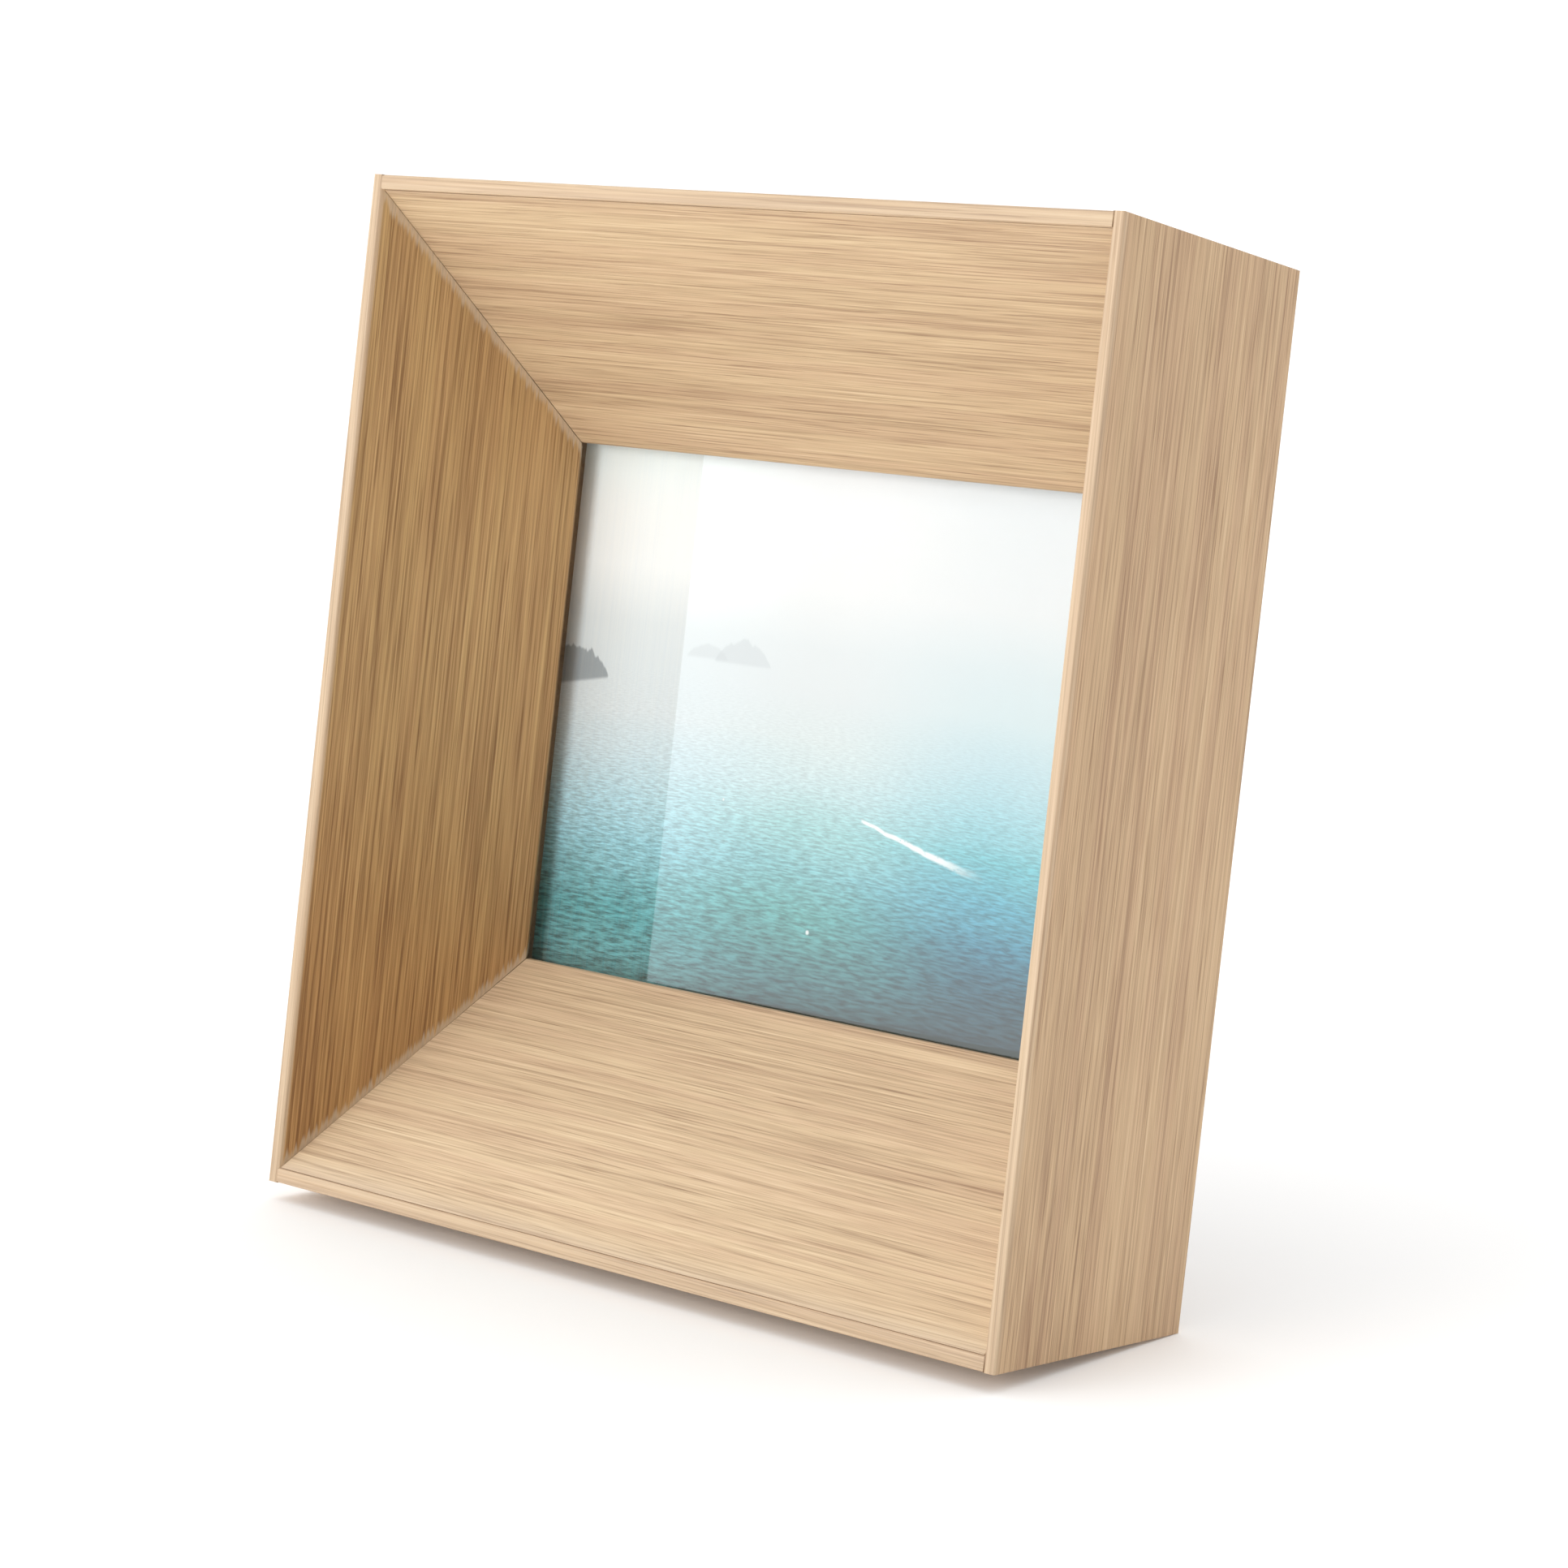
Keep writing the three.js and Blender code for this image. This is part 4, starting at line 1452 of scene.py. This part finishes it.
@dataclass
class OuterCase:
    """Four tapered boards round the outside, whose front edges are the rounded lip."""

    lip_radius: float = 0.80 * MM
    outer_share: float = 0.60
    level_share: float = 0.45
    arris: float = 0.25
    butt: float = 0.06
    lead: float = 0.22 * MM
    front: float = 0.2 * MM
    tint: Colour = (0.97, 0.94, 0.90)
    figure_step: float = 0.31  # from one board's figure to the next one's

    def _share(self, first: Vector, second: Vector) -> float:
        """How much of the lip's radius an edge gets.

        Args:
            first: one end of the edge.
            second: its other end.

        Returns:
            The share, from 0 to 1.
        """
        in_front = max(first.y, second.y) < self.front
        run = second - first
        lengthways = run.length > SHORT_EDGE and abs(run.y) < run.length / 2
        if in_front and lengthways:
            middle = (first + second) / 2
            outside = max(abs(middle.x) - INSIDE.start[0], abs(middle.z) - INSIDE.start[1]) > MM
            if outside:
                return self.outer_share
            return 1.0 if abs(run.z) > abs(run.x) else self.level_share
        return self.arris if lengthways else self.butt

    def _meet_sides(self, corner: Vector) -> Vector:
        """Carries the ends of the top and bottom boards out to the side boards and their rounded edges.

        Args:
            corner: a corner of the board.

        Returns:
            The corner, moved.
        """
        x = reach_for(corner.x, INSIDE.half(0, corner.y))
        if corner.y < self.front:
            x += math.copysign(self.lead, x)
        return Vector((x, corner.y, corner.z))

    def build(self) -> None:
        """Makes and dresses the four boards."""
        for index, edge in enumerate(Edge):
            label = edge.value
            node = f"{label}_outer_board"
            oak = Oak(f"oak_outside_{label}", "oak_veneer", STANCE, edge.grain,
                      self.figure_step * (index + 1), self.tint)
            piece = softened(node, f"case_board_{label}", self.lip_radius, self._share,
                             nudge=None if edge.upright else self._meet_sides)
            finish_piece(piece, oak, "case", [node])


@dataclass(frozen=True)
class SlopeLookAndShade:
    """What sets one sloping board apart from the others: its tint and foot are painted light and shade, its
    edge highlight depth is how far its painted highlight reaches, and its contrast and raised front are its
    own.
    """

    tint: Colour
    contrast: float
    edge_highlight_depth: float = 1.2 * MM
    foot: Colour = PLAIN
    raised_front: float = 0.0


@dataclass
class SlopeRing:
    """Four sloping boards that run from the lip down to the picture, mitred at the corners."""

    radius: float = 0.25 * MM
    mitre_share: float = 0.5
    mitre_slant: float = 0.2  # edges that run back by more of their length are mitres
    mitre_gap: float = 0.3 * MM
    undercut: float = 1.5 * MM
    front: float = 1.0 * MM
    spare: float = 0.1 * MM
    figure_start: float = 3.0
    figure_step: float = 0.47  # from one board's figure to the next one's
    # painted light and shade: the left board's tint and foot darken it as shade in the recess does, the
    # bottom board's tint and deeper edge highlight brighten it as the lamp does, and the top board's tint
    # lightens it a little
    looks: Mapping[Edge, SlopeLookAndShade] = field(default_factory=lambda: {
        Edge.LEFT: SlopeLookAndShade((0.92, 0.83, 0.60), 1.30, foot=(0.93, 0.84, 0.76)),
        Edge.RIGHT: SlopeLookAndShade((0.97, 0.95, 0.90), 0.90),
        Edge.TOP: SlopeLookAndShade((1.00, 1.02, 1.01), 0.88),
        Edge.BOTTOM: SlopeLookAndShade((1.12, 1.18, 1.23), 0.85, 4.0 * MM, raised_front=0.4 * MM),
    })

    def __post_init__(self) -> None:
        """Reads where the opening's edge and the rebate behind it are."""
        corners = np.abs(STANCE.points("left_inner_slope"))
        self.opening = corners[:, 0].min()
        self.rebate = corners[:, 1].max()

    def _mitre(self, node: str) -> Mitre:
        """Where a side board's face ends, as [depth, height] at the lip and at the opening.

        Args:
            node: the board's CAD node.

        Returns:
            The line.
        """
        corners = np.abs(STANCE.points(node))
        order = np.lexsort((corners[:, 0], np.round(corners[:, 1], 5)))
        near = corners[order[0]]
        land = corners[corners[:, 0] < corners[:, 0].min() + SAME_FACE]
        far = land[land[:, 1].argmin()]
        return Mitre((near[1], near[2]), (far[1], far[2]))

    def _share(self, first: Vector, second: Vector) -> float:
        """The mitres are crisper than the edges along the boards."""
        run = second - first
        return self.mitre_share if abs(run.y) > run.length * self.mitre_slant else 1.0

    def _close(self, upright: bool, raised: float) -> Nudge:
        """Carries a board's ends to the mitres, its edges to the outer boards and its front edge forward.

        Args:
            upright: whether it is a side board, which is undercut behind the opening's edge too.
            raised: how far its front edge comes forward, in metres.

        Returns:
            What moves the board's corners.
        """
        reach = self.mitre_gap / 2 - GLUE_LINE

        def nudge(corner: Vector) -> Vector:
            """One corner, moved.

            Args:
                corner: the corner.

            Returns:
                Its new place.
            """
            longer = corner.copy()
            if upright:
                longer.z += math.copysign(reach, corner.z)
            else:
                longer.x += math.copysign(reach, corner.x)
            longer.x = reach_for(longer.x, INSIDE.half(0, corner.y))
            longer.z = reach_for(longer.z, INSIDE.half(1, corner.y))
            if corner.y < self.front:
                longer.y -= raised
            at_opening = abs(corner.x) < self.opening + self.spare
            if upright and at_opening and corner.y > self.rebate - self.spare:
                longer.x += math.copysign(self.undercut, corner.x)
            return longer

        return nudge

    def build(self) -> None:
        """Makes and dresses the four boards."""
        for index, (edge, look) in enumerate(self.looks.items()):
            label = edge.value
            node = f"{label}_inner_slope"
            oak = Oak(f"oak_slope_{label}", "oak_veneer", STANCE, edge.grain,
                      self.figure_step * (index + 1) + self.figure_start, look.tint, look.edge_highlight_depth,
                      self._mitre(node) if edge.upright else None, look.contrast, look.foot)
            piece = softened(node, f"slope_board_{label}", self.radius, self._share,
                             nudge=self._close(edge.upright, look.raised_front))
            finish_piece(piece, oak, "case", [node])


@dataclass
class BackRails:
    """Fibreboard rails round the window, and the blocks behind them."""

    radius: float = 0.4 * MM

    def build(self) -> None:
        """Makes the rails, and dresses the blocks that they are screwed to."""
        for edge in Edge:
            node = f"{edge.value}_back_rail"
            piece = softened(node, f"rail_{edge.value}", self.radius, long_edges, segments=3)
            piece.data.shade_flat()
            finish_piece(piece, FIBREBOARD, "case", [node])
        for corner in CORNERS:
            dress_node(f"corner_block_{corner}", FIBREBOARD)


# ---- what the window holds ----


@dataclass
class Window:
    """The glass, the print behind it and the board that closes the back."""

    ground: float = 0.25 * MM
    backing_round: float = 0.35 * MM

    def build(self) -> None:
        """Makes and dresses the three sheets."""
        glass = softened("glass_pane", "picture_glass", self.ground, every_edge, segments=2)
        glass.data.shade_flat()
        finish_piece(glass, ClearGlass("clear_glass", "glass"), "case", ["glass_pane"])
        high = STANCE.box("photo_print")[1]
        dress_node("photo_print", Seascape("misty_sea_print", "print_paper", STANCE, (high.x, high.z)))
        board = softened("backing_board", "backing", self.backing_round, long_edges, segments=3)
        finish_piece(board, BACKING_FACE, "case", ["backing_board"])


# ---- fasteners ----


@dataclass
class Fasteners:
    """Screws, nails, rivets and bumpers, each kind one template repeated where its CAD nodes are."""

    tree: GeometryTree = field(default_factory=fastener_tree)
    screw_head: float = 1.5 * MM
    screw_shank: float = 0.48  # of the head's radius, as the shanks, rims and crowns below are
    screw_rim: float = 0.97
    screw_tip: float = 0.2 * MM
    screw_curve: float = math.radians(80)
    slot_width: float = 0.75 * MM
    slot_share: float = 0.62
    slot_depth: float = 0.9 * MM
    dome: float = 0.6 * MM
    nail_head: float = 0.7 * MM
    rivet_head: float = 0.9 * MM
    stud_shank: float = 0.42
    stud_rim: float = 0.96
    stud_crown: float = 0.3
    stud_dome: float = 0.85  # of the head's height
    bumper_rim: float = 0.96
    bumper_crown: float = 0.55
    bumper_dome: float = 0.75  # of the bumper's height
    bumper_edge: float = 0.9  # the same
    rail_seed: int = 4
    button_seed: int = 9

    def _places(self, nodes: Sequence[str], stance: Stance) -> bpy.types.Mesh:
        """A point on each node's axis, at the depth where the node ends.

        Args:
            nodes: the CAD nodes.
            stance: the space that they are square to.

        Returns:
            A mesh of these points, in that space.
        """
        mesh = bpy.data.meshes.new("places")
        ends = []
        for node in nodes:
            low, high = stance.box(node)
            ends.append(((low.x + high.x) / 2, high.y, (low.z + high.z) / 2))
        mesh.from_pydata(ends, [], [])
        return mesh

    def repeat(self, name: str, template: bpy.types.Mesh, nodes: Sequence[str], finish: Finish, body: str,
               largest_turn: float = 0.0, seed: int = 1) -> bpy.types.Object:
        """One piece with a copy of the template in place of each node.

        Args:
            name: the piece's name.
            template: the shape, along -y from the origin at its outer end.
            nodes: the CAD nodes that it stands for.
            finish: what it is made of.
            body: the CAD body that it rides on.
            largest_turn: how far a copy may be turned by chance, in radians.
            seed: picks the turns.

        Returns:
            The piece.
        """
        model = mesh_object(f"{name}_template", template)
        values = {"Template": model, "Largest Turn": largest_turn, "Seed": seed,
                  "Material": finish.material()}
        piece = self.tree.grow(name, self._places(nodes, finish.stance), values)
        bpy.data.objects.remove(model)
        piece.data.transform(finish.stance.matrix)
        return finish_piece(piece, finish, body, nodes)

    def screw(self, name: str, node: str) -> bpy.types.Mesh:
        """A pan-headed screw with a cross recess, sized from a CAD node.

        Args:
            name: the mesh's name.
            node: the CAD node that it is sized from.

        Returns:
            The shape, along -y from the origin at the head's top.
        """
        low, high = STANCE.box(node)
        head = (high.x - low.x) / 2
        length = high.y - low.y
        shank = self.screw_shank * head
        brow = self.screw_head - self.dome
        profile = [
            (0.0, -length), (shank / 2, -length + self.screw_tip), (shank, -length + shank),
            (shank, -self.screw_head), (head * self.screw_rim, -self.screw_head),
            (head, -self.screw_head + brow / 10),
            *domed(head, 0.0, self.dome, 7, self.screw_curve), (0.0, 0.0),
        ]
        body = mesh_object(name, turned(name, profile))
        long, short = self.slot_share * head, self.slot_width / 2
        for along, across in ((long, short), (short, long)):
            tool = mesh_object("slot_tool", block("slot_tool", Vector((along, self.slot_depth, across))))
            cut = body.modifiers.new("slot", "BOOLEAN")
            cut.object = tool
            cut.operation = "DIFFERENCE"
            cut.solver = "EXACT"
            settle(body)
            bpy.data.objects.remove(tool)
        mesh = body.data
        bpy.data.objects.remove(body)
        return mesh

    def stud(self, name: str, node: str, head_height: float, stance: Stance) -> bpy.types.Mesh:
        """A rivet or a nail with a domed head, sized from a CAD node.

        Args:
            name: the mesh's name.
            node: the CAD node that it is sized from.
            head_height: how tall the head is, in metres.
            stance: the space that the node is square to.

        Returns:
            The shape, along -y from the origin at the head's top.
        """
        low, high = stance.box(node)
        head = (high.x - low.x) / 2
        length = high.y - low.y
        shank = self.stud_shank * head
        profile = [
            (0.0, -length), (shank, -length + 0.3 * shank), (shank, -head_height),
            (head * self.stud_rim, -head_height),
            *domed(head, self.stud_crown, head_height * self.stud_dome, 6), (0.0, 0.0),
        ]
        return turned(name, profile)

    def bumper(self, name: str, node: str) -> bpy.types.Mesh:
        """A soft domed button, sized from a CAD node.

        Args:
            name: the mesh's name.
            node: the CAD node that it is sized from.

        Returns:
            The shape, along -y from the origin at its top.
        """
        low, high = STANCE.box(node)
        radius, height = (high.x - low.x) / 2, high.y - low.y
        profile = [
            (0.0, -height), (radius * self.bumper_rim, -height), (radius, -height * self.bumper_edge),
            *domed(radius, self.bumper_crown, height * self.bumper_dome, 8), (0.0, 0.0),
        ]
        return turned(name, profile, 48)

    def build(self) -> None:
        """Makes every repeated small piece."""
        screws = [f"rail_screw_{corner}" for corner in CORNERS]
        self.repeat("rail_screws", self.screw("rail_screw_shape", screws[0]), screws,
                    STEEL, "case", math.pi, self.rail_seed)
        screws = [f"button_screw_{corner}" for corner in CORNERS]
        self.repeat("button_screws", self.screw("button_screw_shape", screws[0]), screws,
                    BRASS, "case", math.pi, self.button_seed)
        for name, node, height, finish, body in (
            ("hanger_nails", "hanger_nail", self.nail_head, BRASS, "case"),
            ("board_rivets", "board_rivet", self.rivet_head, STEEL, "case"),
            ("strut_rivets", "strut_rivet", self.rivet_head, STRUT_STEEL, "strut"),
        ):
            studs = [f"{node}_{side}" for side in SIDES]
            shape = self.stud(f"{node}_shape", studs[0], height, finish.stance)
            self.repeat(name, shape, studs, finish, body)
        bumpers = [f"wall_bumper_{side}" for side in SIDES]
        self.repeat("wall_bumpers", self.bumper("bumper_shape", bumpers[0]), bumpers, RUBBER, "case")


# ---- back fittings ----


@dataclass
class TurnButtons:
    """Four sheet-metal buttons that swing over the backing board."""

    radius: float = 0.22 * MM

    def build(self) -> None:
        """Makes and dresses the four buttons, each on its own body."""
        for corner in CORNERS:
            node = f"turn_button_{corner}"
            piece = softened(node, f"button_{corner}", self.radius, every_edge, segments=3)
            finish_piece(piece, BRASS, node, [node])


@dataclass
class WallHanger:
    """A bent strip with a row of teeth that a nail in a wall catches in."""

    tree: GeometryTree = field(default_factory=hanger_tree)
    sheet: float = 0.8 * MM
    foot: float = 8.0 * MM
    bend_radius: float = 0.9 * MM
    teeth: int = 9
    tooth_height: float = 1.6 * MM
    notch_share: float = 0.9
    spare: float = 1.0 * MM

    def _line(self, low: Vector, high: Vector) -> bpy.types.Mesh:
        """The strip's middle line, from one foot over the raised part to the other.

        Args:
            low: the strip's lowest corner.
            high: its highest corner.

        Returns:
            The line, as a mesh of edges.
        """
        half, rise = high.x, high.y - low.y - self.sheet
        bend = half - self.foot
        corners = [(-half, 0.0), (-bend, 0.0), (rise - bend, rise),
                   (bend - rise, rise), (bend, 0.0), (half, 0.0)]
        middle = low.y + self.sheet / 2
        mesh = bpy.data.meshes.new("strip_line")
        mesh.from_pydata([(x, middle + y, (low.z + high.z) / 2) for x, y in corners],
                         [(k, k + 1) for k in range(len(corners) - 1)], [])
        return mesh

    def _notch(self, pitch: float, low: Vector, high: Vector) -> bpy.types.Object:
        """The wedge that cuts one notch, from below the strip's lower edge.

        Args:
            pitch: the distance from one notch to the next.
            low: the strip's lowest corner.
            high: its highest corner.

        Returns:
            The wedge.
        """
        half = pitch * self.notch_share / 2
        wide = half + self.spare * half / self.tooth_height
        wedge = ((-wide, -self.spare), (wide, -self.spare), (0.0, self.tooth_height))
        shape = bmesh.new()
        ends = []
        for y in (low.y - self.spare, high.y + self.spare):
            ends.append([shape.verts.new((x, y, z)) for x, z in wedge])
        shape.faces.new(ends[0])
        shape.faces.new(ends[1][::-1])
        for k in range(3):
            shape.faces.new((ends[0][k - 1], ends[0][k], ends[1][k], ends[1][k - 1]))
        bmesh.ops.recalc_face_normals(shape, faces=shape.faces)
        return mesh_object("notch", plain_mesh("notch", shape))

    def build(self) -> None:
        """Makes and dresses the strip."""
        low, high = STANCE.box("sawtooth_hanger")
        raised = high.x - self.foot - (high.y - low.y - self.sheet)
        pitch = 2 * raised / self.teeth
        notch = self._notch(pitch, low, high)
        values = {
            "Height": high.z - low.z,
            "Sheet": self.sheet,
            "Bend Radius": self.bend_radius,
            "First Notch": (pitch / 2 - raised, 0.0, low.z),
            "Pitch": (pitch, 0.0, 0.0),
            "Notches": self.teeth,
            "Notch": notch,
            "Material": BRASS.material(),
        }
        piece = self.tree.grow("toothed_hanger", self._line(low, high), values)
        bpy.data.objects.remove(notch)
        piece.data.transform(STANCE.matrix)
        finish_piece(piece, BRASS, "case", ["sawtooth_hanger"])


@dataclass
class StrutHinge:
    """The folding strut and the butt hinge that it swings on."""

    strut_round: float = 0.6 * MM
    leaf_round: float = 0.12 * MM
    pin_cap: float = 0.8 * MM
    pin_dome: float = 0.6  # of the cap's height
    pin_stem: float = 0.62  # of the cap's radius

    def _pin(self, low: Vector, high: Vector) -> bpy.types.Mesh:
        """A pin with a domed cap at each end.

        Args:
            low: the pin's lowest corner.
            high: its highest corner.

        Returns:
            The pin, along y and about the origin.
        """
        head, half, cap = (high.z - low.z) / 2, high.x, self.pin_cap
        stem = head * self.pin_stem
        dome = [(radius, half + y) for radius, y in domed(head, 0.0, cap * self.pin_dome, 6)]
        other = [(radius, -y) for radius, y in reversed(dome)]
        profile = [(0.0, -half), *other[1:], (head, cap - half), (stem, cap - half), (stem, half - cap),
                   (head, half - cap), *dome[:-1], (0.0, half)]
        return turned("pin_shape", profile, 32)

    def build(self) -> None:
        """Makes and dresses the strut, the two leaves and the pin."""
        for node, name, radius, segments, finish, body in (
            ("strut", "easel_strut", self.strut_round, 3, STRUT_FACE, "strut"),
            ("hinge_board_leaf", "fixed_leaf", self.leaf_round, 2, STEEL, "case"),
            ("hinge_strut_leaf", "moving_leaf", self.leaf_round, 2, STRUT_STEEL, "strut"),
        ):
            piece = softened(node, name, radius, long_edges, finish.stance, segments)
            finish_piece(piece, finish, body, [node])
        low, high = STANCE.box("hinge_pin")
        mesh = self._pin(low, high)
        middle = Matrix.Translation((0.0, (low.y + high.y) / 2, (low.z + high.z) / 2))
        mesh.transform(STANCE.matrix @ middle @ Matrix.Rotation(-math.pi / 2, 4, "Z"))
        finish_piece(mesh_object("pin", mesh), STEEL, "case", ["hinge_pin"])


# ---- studio ----


@dataclass
class Studio:
    """A white floor, an even white surround, one large soft lamp in front, and the camera."""

    camera_place: Vector = field(default_factory=lambda: Vector((0.6228, -0.6119, 0.2241)))
    camera_aim: Vector = field(default_factory=lambda: Vector((-0.0111, 0.0104, 0.0792)))
    lens: float = 118.2
    shift: Point2 = (-0.0041, -0.0016)
    floor_half: float = 14.0
    surround: float = 1.35
    shaded: float = 1.05
    overhead: float = 0.06
    shaded_fade: Point2 = (0.0, 0.9)
    overhead_fade: Point2 = (0.1, 0.9)
    lamp_place: Vector = field(default_factory=lambda: Vector((-0.42, -1.52, 0.36)))
    lamp_size: float = 1.2
    lamp_power: float = 14.0

    def build(self) -> None:
        """Sets the whole studio up."""
        self._floor()
        self._surround()
        self._lamp()
        self._camera()
        bpy.context.scene.view_settings.view_transform = "Standard"

    def _floor(self) -> None:
        """A wide white floor just under the frame."""
        half = self.floor_half
        mesh = bpy.data.meshes.new("floor")
        corners = [(-half, -half, 0.0), (half, -half, 0.0), (half, half, 0.0), (-half, half, 0.0)]
        mesh.from_pydata(corners, [], [(0, 1, 2, 3)])
        floor = mesh_object("floor", mesh)
        floor.data.materials.append(StudioWhite("studio_white", "", Stance(Matrix.Identity(4))).material())

    def _surround(self) -> None:
        """White light from all round, weaker from the front right and stronger from overhead."""
        world = bpy.data.worlds.new("surround")
        world.use_nodes = True
        graph = Graph(world.node_tree)
        direction = graph.node("ShaderNodeTexCoord").outputs["Generated"]
        parts = graph.node("ShaderNodeSeparateXYZ", None, {0: direction})
        x, y, z = (Term(graph, part) for part in parts.outputs)
        front_right = ((x - y) * math.sqrt(0.5)).step(*self.shaded_fade)
        above = z.step(*self.overhead_fade)
        strength = self.surround - front_right * self.shaded + above * self.overhead
        light = graph.node("ShaderNodeBackground", None, {"Color": as_colour(PLAIN), "Strength": strength})
        graph.node("ShaderNodeOutputWorld", None, {"Surface": light.outputs[0]})
        bpy.context.scene.world = world

    def _lamp(self) -> None:
        """A large square lamp that faces the picture."""
        data = bpy.data.lights.new("softbox", "AREA")
        data.shape = "SQUARE"
        data.size = self.lamp_size
        data.energy = self.lamp_power
        lamp = bpy.data.objects.new("softbox", data)
        lamp.location = self.lamp_place
        lamp.rotation_euler = (self.camera_aim - self.lamp_place).to_track_quat("-Z", "Y").to_euler()
        bpy.context.scene.collection.objects.link(lamp)

    def _camera(self) -> None:
        """The camera, to the right of the frame and a little above it."""
        data = bpy.data.cameras.new("camera")
        data.lens = self.lens
        data.shift_x, data.shift_y = self.shift
        camera = bpy.data.objects.new("camera", data)
        camera.location = self.camera_place
        camera.rotation_euler = (self.camera_aim - self.camera_place).to_track_quat("-Z", "Y").to_euler()
        bpy.context.scene.collection.objects.link(camera)
        bpy.context.scene.camera = camera


def main() -> None:
    """Builds the frame's looks and the studio round it."""
    logging.basicConfig(level=logging.INFO, format="%(name)s: %(message)s")
    Studio().build()
    for part in (OuterCase(), SlopeRing(), BackRails(), Window(), Fasteners(), TurnButtons(), WallHanger(),
                 StrutHinge()):
        part.build()
        LOG.info("%s is finished", type(part).__name__)


if __name__ == "__main__":
    main()
